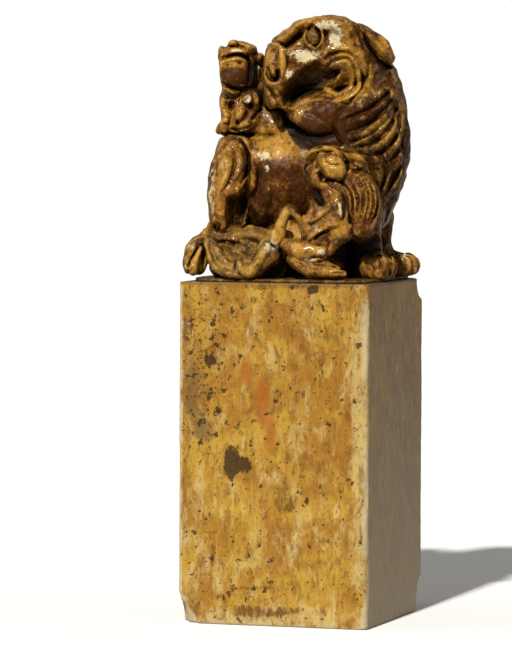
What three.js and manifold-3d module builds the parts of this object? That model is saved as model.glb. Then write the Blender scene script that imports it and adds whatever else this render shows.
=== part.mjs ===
// Seal stamp: one block of soapstone, a square shaft with its printing face below
// and a lion with two cubs carved on top. Millimetres, +Z up, origin at the middle of the printing face.
// The stone is one piece. Each mesh is a region of it as a carver would block it out, and
// neighbouring regions part along a fine carved seam.
import * as THREE from "three";
import { mergeVertices } from "three/addons/utils/BufferGeometryUtils.js";
import Module from "manifold-3d";

const wasm = await Module();
wasm.setup();

// Driving dimensions of the block.
const blockWidth = 32;
const faceThickness = 1.5;
const shaftHeight = 54;
const edgeWear = 0.4;
const frontEdgeWear = 1.2;
const topWear = 0.5;
const chipRadius = 9;
const footChipDepth = 2.2;
const topChipDepth = 1.5;
const seam = 0.3;

// Driving dimensions of the printing face, a bordered fret.
const faceBorder = 1.8;
const grooveWidth = 1.1;
const groovePitch = 2.3;
const grooveDepth = 0.8;
const crossWidth = 2.2;

// Driving dimensions of the ledge that the animals stand on.
const ledgeHeight = 0.6;
const ledgeMargin = 0.9;
const ledgeCorner = 2.5;

// Driving dimensions of the large lion, which stands along X with its head turned back.
const trunkRearX = -10.4;
const trunkFrontX = 10.6;
const trunkY = 1.5;
const trunkRearZ = 15.8;
const trunkFrontZ = 19.6;
const trunkHalfWidth = 8;
const trunkHalfHeight = 9;
const haunchY = 7.2;
const haunchX = -11.2;
const haunchHalfLength = 3.4;
const haunchHalfWidth = 4;
const haunchTopZ = 20.8;
const forelegFarX = 10;
const forelegNearX = 12.2;
const forelegRadius = 2.7;
const forelegFarY = 7.5;
const forelegNearY = -6;
const forePawTipX = 17.5;
const forePawHeelX = 10.1;
const pawLength = 7.4;
const pawHalfWidth = 2.9;
const pawHalfHeight = 2.1;
const toeCount = 4;

// Driving dimensions of the mane.
const maneX = 8.7;
const maneY = 0.7;
const maneTopZ = 37;
const maneFootZ = 11;
const maneHalfLength = 8.2;
const maneHalfWidth = 8.3;
const maneLocks = 11;
const lockDepth = 0.06;
const lockSwirl = 0.16;

// Driving dimensions of the large lion's head, in its own turned frame: -X forward, Z up.
const headX = 7.2;
const headY = 0.5;
const headZ = 36.5;
const headTurn = 30;
const headNod = 25;
const skullLength = 11.4;
const skullHalfWidth = 7.3;
const skullHalfHeight = 6.7;
const muzzleLength = 6.4;
const muzzleHalfWidth = 4.8;
const muzzleHalfHeight = 4.3;
const mouthGape = 3;
const lipReach = 3;
const jawHalfHeight = 4;
const jawHalfWidth = 5.6;
const mouthArch = 1.8;
const mouthWeb = 2.6;
const browRadius = 1.3;
const noseRadius = 1.7;
const eyeRadius = 1.7;
const earLength = 9.4;
const earHalfWidth = 2.5;
const earHalfThickness = 1.3;

// Driving dimensions of the tail, whose fan lies along the front of the block.
const fanLeftX = -12.4;
const fanRightX = 0.4;
const fanBackY = -8.6;
const fanFrontY = -14.7;
const fanBackZ = 7.4;
const fanCrestZ = 6.8;
const fanRimZ = 1.6;
const fanDish = 1.7;
const fanThickness = 1.8;
const fanRibs = 5;
const fanRibHeight = 0.18;
const curlRadius = 1.6;
const tailRadius = 2;

// Driving dimensions of the cub that sits on the rump.
const riderX = -10.4;
const riderY = -1.4;
const riderBodyHeight = 7;
const riderBodyRadius = 3.1;
const riderHeadHalfWidth = 3.6;
const riderHeadHalfHeight = 4;
const riderLimbRadius = 1.1;
const riderEarRadius = 1;

// Driving dimensions of the cub that climbs at the front.
const climberX = 8;
const climberY = -10.6;
const climberHeadZ = 18.2;
const climberHeadRadius = 4.1;
const climberBodyRadius = 3.2;
const climberLimbRadius = 1.7;
const climberManeHalfWidth = 3.6;
const climberManeHalfThickness = 2.2;
const climberManeLocks = 9;
const climberLockDepth = 0.08;
const climberEarRadius = 1.3;

const halfWidth = blockWidth / 2;
const blockHeight = faceThickness + shaftHeight;
const trunkLength = trunkFrontX - trunkRearX;
const radian = Math.PI / 180;
const upZ = new THREE.Vector3(0, 0, 1);
const acrossY = new THREE.Vector3(0, 1, 0);

const stone = {
  face: new THREE.MeshStandardMaterial({ color: 0xb59a62, roughness: 0.6, metalness: 0 }),
  shaft: new THREE.MeshStandardMaterial({ color: 0xc79a4e, roughness: 0.5, metalness: 0 }),
  ledge: new THREE.MeshStandardMaterial({ color: 0x5b5236, roughness: 0.6, metalness: 0 }),
  lion: new THREE.MeshStandardMaterial({ color: 0x8a5a1e, roughness: 0.3, metalness: 0 }),
  mane: new THREE.MeshStandardMaterial({ color: 0x6e4618, roughness: 0.3, metalness: 0 }),
  tail: new THREE.MeshStandardMaterial({ color: 0x94682a, roughness: 0.35, metalness: 0 }),
  cub: new THREE.MeshStandardMaterial({ color: 0x9c6c28, roughness: 0.3, metalness: 0 }),
  eye: new THREE.MeshStandardMaterial({ color: 0x7a4a1c, roughness: 0.25, metalness: 0 }),
};

// A closed geometry from a list of points and triangles.
function closedGeometry(points, faces) {
  const geometry = new THREE.BufferGeometry();
  geometry.setAttribute("position", new THREE.Float32BufferAttribute(points.flat(), 3));
  geometry.setIndex(faces.flat());
  return geometry;
}

// A limb: elliptical sections carried along a smooth curve through the stations, with domed ends.
// A station is [x, y, z, half width, half height]. Locks are ridges that run along the limb:
// radius = ellipse x (1 + depth cos(locks x angle + swirl x way along)), and they fade out at the ends.
// A swollen limb, which cuts its neighbours, runs smooth over the crests of its locks.
const smoothSides = 18;
function limb(stations, grow = 0, options = {}) {
  const { sides = 10, steps = 2, up = upZ, locks = 0, depth = 0, swirl = 0, domes = 1, square = 1 } = options;
  const swollen = grow > 0 && locks > 0;
  const count = swollen ? smoothSides : sides;
  const ridge = swollen ? 0 : depth;
  const spread = swollen ? depth : 0;
  const centres = new THREE.CatmullRomCurve3(stations.map(([x, y, z]) => new THREE.Vector3(x, y, z)));
  const radii = new THREE.CatmullRomCurve3(
    stations.map(([, , , wide, high]) => new THREE.Vector3(wide, high, 0)),
    false,
    "catmullrom",
  );
  const squared = (value) => Math.sign(value) * Math.abs(value) ** square;
  const points = [];
  const rings = [];
  const ringCount = (stations.length - 1) * steps;

  const addRing = (way, shift, scale) => {
    const tangent = centres.getTangent(way);
    const centre = centres.getPoint(way).addScaledVector(tangent, shift);
    const side = up.clone().cross(tangent).normalize();
    const top = tangent.clone().cross(side);
    const radius = radii.getPoint(way);
    const fade = Math.sin(Math.PI * Math.min(1, Math.max(0, way)));
    const ring = [];
    for (let k = 0; k < count; k += 1) {
      const angle = (2 * Math.PI * k) / count;
      const ripple = 1 + spread + ridge * fade * Math.cos(locks * angle + swirl * 2 * Math.PI * way * locks);
      const wide = (radius.x + grow) * ripple * scale * squared(Math.cos(angle));
      const high = (radius.y + grow) * ripple * scale * squared(Math.sin(angle));
      ring.push(points.length);
      points.push(centre.clone().addScaledVector(side, wide).addScaledVector(top, high).toArray());
    }
    rings.push(ring);
  };

  const endLength = (way) => {
    const radius = radii.getPoint(way);
    return 0.8 * Math.min(radius.x, radius.y) + grow;
  };
  const addPole = (way, shift) => {
    points.push(centres.getPoint(way).addScaledVector(centres.getTangent(way), shift).toArray());
    return points.length - 1;
  };

  for (let k = domes; k > 0; k -= 1) {
    const lean = (0.5 * Math.PI * k) / (domes + 1);
    addRing(0, -endLength(0) * Math.sin(lean), Math.cos(lean));
  }
  for (let i = 0; i <= ringCount; i += 1) {
    addRing(i / ringCount, 0, 1);
  }
  for (let k = 1; k <= domes; k += 1) {
    const lean = (0.5 * Math.PI * k) / (domes + 1);
    addRing(1, endLength(1) * Math.sin(lean), Math.cos(lean));
  }
  const startPole = addPole(0, -endLength(0));
  const endPole = addPole(1, endLength(1));

  const faces = [];
  const first = rings[0];
  const last = rings[rings.length - 1];
  for (let k = 0; k < count; k += 1) {
    const next = (k + 1) % count;
    faces.push([startPole, first[next], first[k]]);
    faces.push([endPole, last[k], last[next]]);
    for (let i = 0; i + 1 < rings.length; i += 1) {
      faces.push([rings[i][k], rings[i][next], rings[i + 1][k]]);
      faces.push([rings[i][next], rings[i + 1][next], rings[i + 1][k]]);
    }
  }
  return closedGeometry(points, faces);
}

// A leaf: a curved sheet given as a point for each (u, v) from 0 to 1, thickened along its normal.
function leaf(surface, thickness, grow, columns, rows) {
  const reachU = grow / 8;
  const reachV = grow / 4;
  const step = 1e-3;
  const half = thickness / 2 + grow;
  const points = [];
  const faces = [];
  const place = (i, j, side) => {
    const u = -reachU + ((1 + 2 * reachU) * i) / columns;
    const v = -reachV + ((1 + 2 * reachV) * j) / rows;
    const here = surface(u, v);
    const alongU = surface(u + step, v).sub(here);
    const alongV = surface(u, v + step).sub(here);
    const normal = alongU.cross(alongV).normalize();
    return here.addScaledVector(normal, side * half).toArray();
  };
  const index = (i, j, side) => (i * (rows + 1) + j) * 2 + side;
  for (let i = 0; i <= columns; i += 1) {
    for (let j = 0; j <= rows; j += 1) {
      points.push(place(i, j, -1), place(i, j, 1));
    }
  }
  for (let i = 0; i < columns; i += 1) {
    for (let j = 0; j < rows; j += 1) {
      const [a, b, c, d] = [index(i, j, 1), index(i + 1, j, 1), index(i + 1, j + 1, 1), index(i, j + 1, 1)];
      faces.push([a, b, c], [a, c, d]);
      faces.push([a - 1, c - 1, b - 1], [a - 1, d - 1, c - 1]);
    }
  }
  const wall = (a, b) => faces.push([a - 1, b - 1, b], [a - 1, b, a]);
  for (let i = 0; i < columns; i += 1) {
    wall(index(i, 0, 1), index(i + 1, 0, 1));
    wall(index(i + 1, rows, 1), index(i, rows, 1));
  }
  for (let j = 0; j < rows; j += 1) {
    wall(index(columns, j, 1), index(columns, j + 1, 1));
    wall(index(0, j + 1, 1), index(0, j, 1));
  }
  return closedGeometry(points, faces);
}

// A ball or an egg shape with the given half sizes.
function egg(centre, halves, grow = 0, around = 12, down = 8) {
  const geometry = new THREE.SphereGeometry(1, around, down);
  geometry.scale(halves[0] + grow, halves[1] + grow, halves[2] + grow);
  geometry.translate(...centre);
  return geometry;
}

// The solid of a closed geometry, placed by a matrix.
function solid(geometry, matrix = new THREE.Matrix4()) {
  const copy = geometry.clone().applyMatrix4(matrix);
  copy.deleteAttribute("normal");
  copy.deleteAttribute("uv");
  const merged = mergeVertices(copy, 1e-4);
  return new wasm.Manifold(
    new wasm.Mesh({
      numProp: 3,
      vertProperties: new Float32Array(merged.attributes.position.array),
      triVerts: new Uint32Array(merged.index.array),
    }),
  );
}

// Joins the solids of several geometries.
function joined(geometries, matrix) {
  return geometries.map((geometry) => solid(geometry, matrix)).reduce((a, b) => a.add(b));
}

// The largest body of a solid: the crumbs that a neighbour's cut leaves belong to that neighbour's seam.
function largestBody(made) {
  return made.decompose().reduce((a, b) => (a.volume() > b.volume() ? a : b));
}

// Hangs a solid in a group as a named mesh.
function place(group, name, made, material) {
  const { numProp, numVert, vertProperties, triVerts } = made.getMesh();
  const positions = [];
  for (let i = 0; i < numVert; i += 1) {
    positions.push(...vertProperties.slice(i * numProp, i * numProp + 3));
  }
  const geometry = new THREE.BufferGeometry();
  geometry.setAttribute("position", new THREE.Float32BufferAttribute(positions, 3));
  geometry.setIndex(new THREE.BufferAttribute(new Uint32Array(triVerts), 1));
  geometry.applyMatrix4(group.matrixWorld.clone().invert());
  geometry.computeVertexNormals();
  const mesh = new THREE.Mesh(geometry, material);
  mesh.name = name;
  group.add(mesh);
}

// The square of the block with worn corners, as a flat shape. The corner at the front right is worn most.
function wornSquare(half) {
  const shape = new THREE.Shape();
  const corner = half - edgeWear;
  const frontCorner = half - frontEdgeWear;
  shape.moveTo(-corner, -half);
  shape.lineTo(frontCorner, -half);
  shape.lineTo(half, -frontCorner);
  shape.lineTo(half, corner);
  shape.lineTo(corner, half);
  shape.lineTo(-corner, half);
  shape.lineTo(-half, corner);
  shape.lineTo(-half, -corner);
  shape.closePath();
  return shape;
}

// A flat band of one width along a path of right-angled turns, as a shape.
function fretBand(path, width) {
  const sides = [[], []];
  const turnAt = (from, to) => [Math.sign(to[0] - from[0]), Math.sign(to[1] - from[1])];
  path.forEach((point, i) => {
    const before = turnAt(path[Math.max(0, i - 1)], path[Math.max(1, i)]);
    const after = turnAt(path[Math.min(i, path.length - 2)], path[Math.min(i + 1, path.length - 1)]);
    const corner = before[0] !== after[0] || before[1] !== after[1];
    const normal = corner
      ? [-(before[1] + after[1]), before[0] + after[0]]
      : [-before[1], before[0]];
    [1, -1].forEach((side, k) => {
      const shift = (side * width) / 2;
      sides[k].push(new THREE.Vector2(point[0] + shift * normal[0], point[1] + shift * normal[1]));
    });
  });
  return new THREE.Shape([...sides[0], ...sides[1].reverse()].reverse());
}

const extrude = (shape, depth) => new THREE.ExtrudeGeometry(shape, { depth, bevelEnabled: false });

// A shell-shaped chip off a corner: a ball that bites by the given depth into the edge at (x, y).
function chip(signX, signY, z, bite) {
  const reach = (halfWidth - edgeWear / 2) * Math.SQRT2 - bite + chipRadius;
  return egg(
    [(signX * reach) / Math.SQRT2, (signY * reach) / Math.SQRT2, z],
    [chipRadius, chipRadius, chipRadius / 2],
  );
}

const seal = new THREE.Group();
const blockGroup = new THREE.Group();
const carving = new THREE.Group();
const lion = new THREE.Group();
const head = new THREE.Group();
const tail = new THREE.Group();
const rider = new THREE.Group();
const climber = new THREE.Group();
seal.add(blockGroup, carving);
carving.add(lion, tail, rider, climber);
lion.add(head);

carving.position.z = blockHeight;
lion.position.y = trunkY;
head.position.set(headX, headY - trunkY, headZ);
head.rotation.set(0, headNod * radian * -1, headTurn * radian, "ZYX");
const rumpTopZ = trunkRearZ + trunkHalfHeight;
rider.position.set(riderX, riderY, rumpTopZ);
climber.position.set(climberX, climberY, ledgeHeight);
seal.updateMatrixWorld(true);

// The block

const chips = [
  chip(-1, -1, 0, footChipDepth),
  chip(1, 1, 0, footChipDepth / 2),
  chip(1, 1, blockHeight, topChipDepth),
];

function shapeFace() {
  const plate = solid(extrude(wornSquare(halfWidth), faceThickness));
  const inner = halfWidth - faceBorder;
  const quadrant = inner - crossWidth / 2;
  const turns = Math.floor(quadrant / (2 * groovePitch));
  let face = plate;
  for (const [signX, signY] of [[1, 1], [-1, 1], [-1, -1], [1, -1]]) {
    const centreX = (signX * (inner + crossWidth / 2)) / 2;
    const centreY = (signY * (inner + crossWidth / 2)) / 2;
    const path = [];
    for (let k = 0; k < turns; k += 1) {
      const reach = quadrant / 2 - grooveWidth / 2 - k * groovePitch;
      const nextReach = reach - groovePitch;
      path.push([-reach, k === 0 ? reach : reach + groovePitch]);
      path.push([-reach, -reach], [reach, -reach], [reach, reach]);
      if (nextReach > grooveWidth) {
        path.push([-nextReach, reach]);
      }
    }
    const mirrored = path.map(([x, y]) => [centreX + signX * x, centreY + signY * y]);
    const tidy = mirrored.filter(
      (point, i) => i === 0 || Math.hypot(point[0] - mirrored[i - 1][0], point[1] - mirrored[i - 1][1]) > 1e-6,
    );
    const ordered = signX * signY > 0 ? tidy : tidy.reverse();
    const groove = extrude(fretBand(ordered, grooveWidth), 2 * grooveDepth);
    groove.translate(0, 0, -grooveDepth);
    face = face.subtract(solid(groove));
  }
  return chips.reduce((made, tool) => made.subtract(solid(tool)), face);
}

function shapeShaft() {
  const body = extrude(wornSquare(halfWidth), shaftHeight - topWear);
  body.translate(0, 0, faceThickness);
  const crownShape = wornSquare(halfWidth - topWear);
  const crown = new THREE.ExtrudeGeometry(crownShape, {
    depth: shaftHeight / 2 - 2 * topWear,
    bevelEnabled: true,
    bevelThickness: topWear,
    bevelSize: topWear,
    bevelSegments: 1,
  });
  crown.translate(0, 0, faceThickness + shaftHeight / 2 + topWear);
  const shaft = joined([body, crown]);
  return chips.reduce((made, tool) => made.subtract(solid(tool)), shaft);
}

place(blockGroup, "seal_face", largestBody(shapeFace()), stone.face);
place(blockGroup, "seal_shaft", largestBody(shapeShaft()), stone.shaft);

// The ledge is a low step with rounded corners, left standing when the ground round the feet was cut away.
function ledgeForm() {
  const half = halfWidth - ledgeMargin;
  const shape = new THREE.Shape();
  shape.absarc(half - ledgeCorner, half - ledgeCorner, ledgeCorner, 0, 0.5 * Math.PI);
  shape.absarc(ledgeCorner - half, half - ledgeCorner, ledgeCorner, 0.5 * Math.PI, Math.PI);
  shape.absarc(ledgeCorner - half, ledgeCorner - half, ledgeCorner, Math.PI, 1.5 * Math.PI);
  shape.absarc(half - ledgeCorner, ledgeCorner - half, ledgeCorner, 1.5 * Math.PI, 2 * Math.PI);
  shape.closePath();
  return new THREE.ExtrudeGeometry(shape, { depth: ledgeHeight, bevelEnabled: false, curveSegments: 4 });
}

// Each form below gives the geometries that make up one region, swollen by grow on every side.
// Forms that stand up pass up: acrossY, so that a station's half width lies along X and its half height along Y.
const upright = { up: acrossY };

// A paw that points along +X from its heel, with a row of toes across its front.
function paw(heelX, y, length, grow) {
  const z = ledgeHeight + pawHalfHeight * 0.9;
  const back = limb(
    [
      [heelX + 1.6, y, z, pawHalfWidth * 0.72, pawHalfHeight],
      [heelX + 0.45 * length, y, z, pawHalfWidth * 0.9, pawHalfHeight],
      [heelX + 0.68 * length, y, z - 0.2, pawHalfWidth, pawHalfHeight * 0.8],
    ],
    grow,
    { sides: 8 },
  );
  const toes = [];
  for (let k = 0; k < toeCount; k += 1) {
    const across = ((2 * k + 1) / toeCount - 1) * pawHalfWidth;
    const bend = 0.12 * across * across;
    const halfToe = pawHalfWidth / toeCount + 0.15;
    const tip = heelX + length - 1.9 - bend;
    toes.push(egg([tip, y + across, z - 0.25], [1.9, halfToe, pawHalfHeight * 0.92], grow, 6, 5));
  }
  return [back, ...toes];
}

function lionBody(grow) {
  const bellyDip = 0.94;
  return [
    limb(
      [
        [trunkRearX, 0, trunkRearZ, trunkHalfWidth * 0.84, trunkHalfHeight * 0.95],
        [trunkRearX + 0.14 * trunkLength, 0, trunkRearZ + 0.4, trunkHalfWidth, trunkHalfHeight],
        [trunkRearX + 0.46 * trunkLength, 0, (trunkRearZ + trunkFrontZ) / 2 + 0.4,
          trunkHalfWidth * bellyDip, trunkHalfHeight],
        [trunkRearX + 0.78 * trunkLength, 0, trunkFrontZ - 0.2, trunkHalfWidth, trunkHalfHeight],
        [trunkFrontX, 0, trunkFrontZ, trunkHalfWidth * 0.95, trunkHalfHeight * 0.95],
      ],
      grow,
      { sides: 14, domes: 2 },
    ),
  ];
}

// The stone left standing under the belly, between the legs. It closes the view through under the lion.
function bellyWeb(grow) {
  const high = 0.5 * trunkHalfHeight + 1.6;
  const wide = 0.64 * trunkHalfWidth;
  return [
    limb(
      [
        [trunkRearX + 1.5, 0.4, high - 1, wide, high],
        [(trunkRearX + trunkFrontX) / 2, 0, high - 0.8, 1.1 * wide, high],
        [trunkFrontX - 2, 0.6, high - 1, wide, high],
      ],
      grow,
      { sides: 8 },
    ),
  ];
}

function lionMane(grow) {
  const rise = maneTopZ - maneFootZ;
  return [
    limb(
      [
        [maneX + 1.1, maneY + 1.2, maneFootZ, maneHalfLength * 0.56, maneHalfWidth * 0.76],
        [maneX + 0.7, maneY + 0.8, maneFootZ + 0.24 * rise, maneHalfLength * 0.88, maneHalfWidth * 0.96],
        [maneX - 0.3, maneY + 0.1, maneFootZ + 0.5 * rise, maneHalfLength * 1.08, maneHalfWidth * 1.04],
        [maneX + 1.2, maneY + 0.1, maneFootZ + 0.76 * rise, maneHalfLength * 0.83, maneHalfWidth * 0.98],
        [maneX + 0.6, maneY, maneTopZ, maneHalfLength * 0.64, maneHalfWidth * 0.82],
      ],
      grow,
      { ...upright, sides: 3 * maneLocks, domes: 2, locks: maneLocks, depth: lockDepth, swirl: lockSwirl },
    ),
  ];
}

function haunch(side) {
  const fall = haunchTopZ - ledgeHeight;
  return (grow) => [
    limb(
      [
        [haunchX + 1.6, side * (haunchY - 1.5), haunchTopZ, haunchHalfLength * 0.76, haunchHalfWidth * 0.74],
        [haunchX, side * haunchY, haunchTopZ - 0.27 * fall, haunchHalfLength, haunchHalfWidth],
        [haunchX - 0.2, side * (haunchY + 0.4), haunchTopZ - 0.55 * fall,
          haunchHalfLength * 0.84, haunchHalfWidth * 0.9],
        [haunchX - 0.8, side * (haunchY + 0.6), ledgeHeight + 0.26 * fall,
          haunchHalfLength * 0.68, haunchHalfWidth * 0.66],
        [haunchX - 0.9, side * (haunchY + 0.8), ledgeHeight + 0.13 * fall,
          haunchHalfLength * 0.6, haunchHalfWidth * 0.6],
      ],
      grow,
      { ...upright, sides: 12, domes: 2 },
    ),
  ];
}

const hindPaw = (side) => (grow) => paw(haunchX - 0.76 * haunchHalfLength, side * (haunchY + 1), pawLength, grow);

function foreleg(footX, footY, shoulderY) {
  return (grow) => [
    limb(
      [
        [footX - 1.2, shoulderY, trunkRearZ + 0.4, forelegRadius * 1.25, forelegRadius * 1.25],
        [footX, (footY + shoulderY) / 2 + 0.2 * footY, 0.67 * trunkRearZ, forelegRadius, forelegRadius],
        [footX + 0.2, footY, 5.6, forelegRadius * 0.82, forelegRadius * 0.82],
        [footX + 1, footY, 3, forelegRadius * 0.85, forelegRadius * 0.82],
      ],
      grow,
      upright,
    ),
  ];
}

const forePaw = (heelX, footY) => (grow) => paw(heelX, footY, forePawTipX - heelX, grow);

// The head lies along its own X with the nose towards -X. The cheeks swell behind the mouth corner,
// and the muzzle is a square block that carries the nose and ends above the open mouth.
const lipZ = -0.6;
const muzzleZ = lipZ + muzzleHalfHeight;
const muzzleRootX = 0.5 - 0.45 * skullLength;
const muzzleEndX = muzzleRootX - muzzleLength;

// The open mouth is a lens cut in from each side: its roof is an arch from the corner to the front lip
// and its floor is the lower lip. The palate and tongue stay as a web in the middle.
function mouthHollows() {
  const cornerX = muzzleRootX + 0.8 * lipReach;
  const frontX = muzzleEndX - 0.4 * lipReach;
  const floorZ = lipZ - mouthGape;
  const lens = new THREE.Shape();
  lens.moveTo(cornerX, lipZ - 0.3);
  lens.quadraticCurveTo(cornerX - lipReach, lipZ + 2 * mouthArch, frontX + 0.8, lipZ + 0.3 * mouthArch);
  lens.lineTo(frontX - 0.4, floorZ - 0.5);
  lens.quadraticCurveTo(muzzleRootX - 0.8 * lipReach, floorZ - 0.5, cornerX, lipZ - 0.3);
  const reach = 2 * skullHalfWidth;
  return [-1, 1].map((side) => {
    const hollow = new THREE.ExtrudeGeometry(lens, { depth: reach, bevelEnabled: false, curveSegments: 6 });
    hollow.rotateX(0.5 * Math.PI);
    hollow.translate(0, side > 0 ? mouthWeb + reach : -mouthWeb, 0);
    return hollow;
  });
}

function lionHead(grow) {
  const skull = limb(
    [
      [0.42 * skullLength, 0, 0.2, skullHalfWidth * 0.74, skullHalfHeight * 0.78],
      [0.5, 0, 0.8, skullHalfWidth, skullHalfHeight],
      [muzzleRootX, 0, muzzleZ - 1.3, skullHalfWidth * 0.9, skullHalfHeight * 0.88],
      [muzzleRootX - 0.4 * muzzleLength, 0, muzzleZ, muzzleHalfWidth * 1.08, muzzleHalfHeight],
      [muzzleRootX - 0.75 * muzzleLength, 0, muzzleZ - 0.1, muzzleHalfWidth, muzzleHalfHeight * 0.92],
      [muzzleEndX + 0.8, 0, muzzleZ - 0.6, muzzleHalfWidth * 0.92, muzzleHalfHeight * 0.9],
      [muzzleEndX - 0.5 * lipReach, 0, muzzleZ - 1.9, muzzleHalfWidth * 0.84, muzzleHalfHeight * 0.78],
    ],
    grow,
    { sides: 12, domes: 2, square: 0.78 },
  );
  const brows = [-1, 1].map((side) =>
    limb(
      [
        [muzzleRootX - 0.3 * skullHalfWidth, side * 0.23 * skullHalfWidth, muzzleZ + 0.8 * muzzleHalfHeight,
          browRadius * 0.8, browRadius * 0.8],
        [muzzleRootX - 0.08 * skullHalfWidth, side * 0.58 * skullHalfWidth, muzzleZ + 0.9 * muzzleHalfHeight,
          browRadius, browRadius],
        [muzzleRootX + 0.33 * skullHalfWidth, side * 0.82 * skullHalfWidth, muzzleZ + 0.6 * muzzleHalfHeight,
          browRadius * 1.1, browRadius],
        [muzzleRootX + 0.68 * skullHalfWidth, side * 0.9 * skullHalfWidth, muzzleZ - 0.14 * muzzleHalfHeight,
          browRadius * 0.7, browRadius * 0.7],
      ],
      grow,
      { sides: 6 },
    ),
  );
  const noseX = muzzleEndX + 0.2;
  const lip = limb(
    [
      [muzzleEndX - 0.1 * lipReach, 0, muzzleZ + 0.6, 0.9 * noseRadius, 0.74 * muzzleHalfWidth],
      [muzzleEndX - 0.6 * lipReach, 0, lipZ + 1, 0.9 * noseRadius, 0.8 * muzzleHalfWidth],
      [muzzleEndX - 0.95 * lipReach, 0, lipZ - 0.5 * mouthGape, 0.8 * noseRadius, 0.72 * muzzleHalfWidth],
    ],
    grow,
    { ...upright, sides: 10, square: 0.7 },
  );
  const nose = egg([noseX, 0, muzzleZ + 1.7], [noseRadius, noseRadius * 1.5, noseRadius * 0.95], grow, 8, 6);
  const wings = [-1, 1].map((side) =>
    egg([noseX - 0.3, side * 2.5, muzzleZ - 0.2], [noseRadius * 0.95, noseRadius * 0.85, noseRadius * 0.9], grow, 7, 5),
  );
  const palate = limb(
    [
      [muzzleRootX + 1, 0, lipZ - 0.5 * mouthGape, mouthWeb, 0.8 * mouthGape],
      [muzzleRootX - 0.4 * muzzleLength, 0, lipZ - 0.5 * mouthGape, mouthWeb, 0.8 * mouthGape],
      [muzzleEndX - 0.3 * lipReach, 0, lipZ - 0.45 * mouthGape, 0.8 * mouthWeb, 0.7 * mouthGape],
    ],
    grow,
    { sides: 8 },
  );
  return { add: [skull, lip, palate, ...brows, nose, ...wings], cut: grow > 0 ? [] : mouthHollows() };
}

function lionLowerJaw(grow) {
  const jawZ = lipZ - mouthGape - jawHalfHeight;
  const jaw = [
    limb(
      [
        [0, 0, jawZ, jawHalfWidth * 1.25, jawHalfHeight * 1.2],
        [muzzleRootX + 0.2, 0, jawZ - 0.3, jawHalfWidth * 1.16, jawHalfHeight * 1.1],
        [muzzleEndX + 2.4, 0, jawZ, jawHalfWidth * 0.96, jawHalfHeight],
        [muzzleEndX - 0.3, 0, jawZ + 1.5, jawHalfWidth * 0.66, jawHalfHeight * 0.66],
      ],
      grow,
      { sides: 12, domes: 2, square: 0.85 },
    ),
  ];
  return { add: jaw, cut: grow > 0 ? [] : mouthHollows() };
}

function lionEar(side) {
  return (grow) => [
    limb(
      [
        [3.4, side * 5.2, 0.53 * earLength, earHalfWidth * 0.5, earHalfThickness * 1.2],
        [4.5, side * 6.6, 0.23 * earLength, earHalfWidth, earHalfThickness],
        [5.3, side * 6.9, -0.13 * earLength, earHalfWidth * 0.9, earHalfThickness * 0.8],
        [5.4, side * 6.5, -0.37 * earLength, earHalfWidth * 0.45, earHalfThickness * 0.5],
      ],
      grow,
      { ...upright, sides: 8 },
    ),
  ];
}

const lionEye = (side) => (grow) => [
  egg(
    [muzzleRootX - 0.25 * eyeRadius, side * 0.76 * skullHalfWidth, muzzleZ + 1.1 * eyeRadius],
    [eyeRadius, eyeRadius * 0.8, eyeRadius],
    grow,
    12,
    8,
  ),
];

// The tail's fan is a hollowed leaf. u runs left to right and v from the back line to the front rim.
// The rim drops to the ground in the middle as |2u - 1| to a power, and the hollow is a sine in v.
const fanPoint = {
  back: (u) => new THREE.Vector3(fanLeftX + u * (fanRightX - fanLeftX), fanBackY, fanBackZ),
  rim: (u) => {
    const swing = Math.abs(2 * u - 1.04);
    return new THREE.Vector3(
      fanLeftX + u * (fanRightX - fanLeftX),
      fanFrontY + 2 * swing * swing,
      fanRimZ + (fanCrestZ - fanRimZ) * swing ** 1.7,
    );
  },
};

function fanSurface(u, v) {
  const hollow = fanDish * Math.sin(Math.PI * v) * Math.sin(Math.PI * u) ** 0.5;
  const ripple = fanRibHeight * Math.cos(2 * Math.PI * fanRibs * u) * Math.sin(Math.PI * v);
  const across = Math.min(1, Math.max(0, u));
  const point = fanPoint.back(u).lerp(fanPoint.rim(across).setX(fanLeftX + u * (fanRightX - fanLeftX)), v);
  const depth = Number.isNaN(hollow) ? 0 : hollow;
  return point.add(new THREE.Vector3(0, 0.4 * depth, ripple - depth));
}

function tailFan(grow) {
  const rimRadius = fanThickness * 0.62;
  const rim = [0.02, 0.25, 0.5, 0.75, 0.98].map((u) => {
    const { x, y, z } = fanPoint.rim(u);
    return [x, y, z, rimRadius, rimRadius];
  });
  return [
    leaf(fanSurface, fanThickness, grow, 4 * fanRibs, 3),
    limb(rim, grow, { sides: 6, steps: 3 }),
  ];
}

function tailCurl(grow) {
  const curlY = fanFrontY + curlRadius;
  return [
    limb(
      [
        [fanLeftX + 0.5 * curlRadius, curlY + 0.8 * curlRadius, fanCrestZ - 0.3 * curlRadius,
          curlRadius * 0.85, curlRadius * 0.85],
        [fanLeftX - 0.75 * curlRadius, curlY + 0.45 * curlRadius, fanCrestZ - 0.5 * curlRadius,
          curlRadius, curlRadius],
        [fanLeftX - 1.25 * curlRadius, curlY + 0.1 * curlRadius, 0.5 * fanCrestZ, curlRadius * 0.95, curlRadius],
        [fanLeftX - 0.5 * curlRadius, curlY, ledgeHeight + curlRadius * 0.8, curlRadius, curlRadius],
        [fanLeftX + 0.55 * curlRadius, curlY, ledgeHeight + curlRadius * 0.7,
          curlRadius * 0.75, curlRadius * 0.75],
      ],
      grow,
      upright,
    ),
  ];
}

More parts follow.
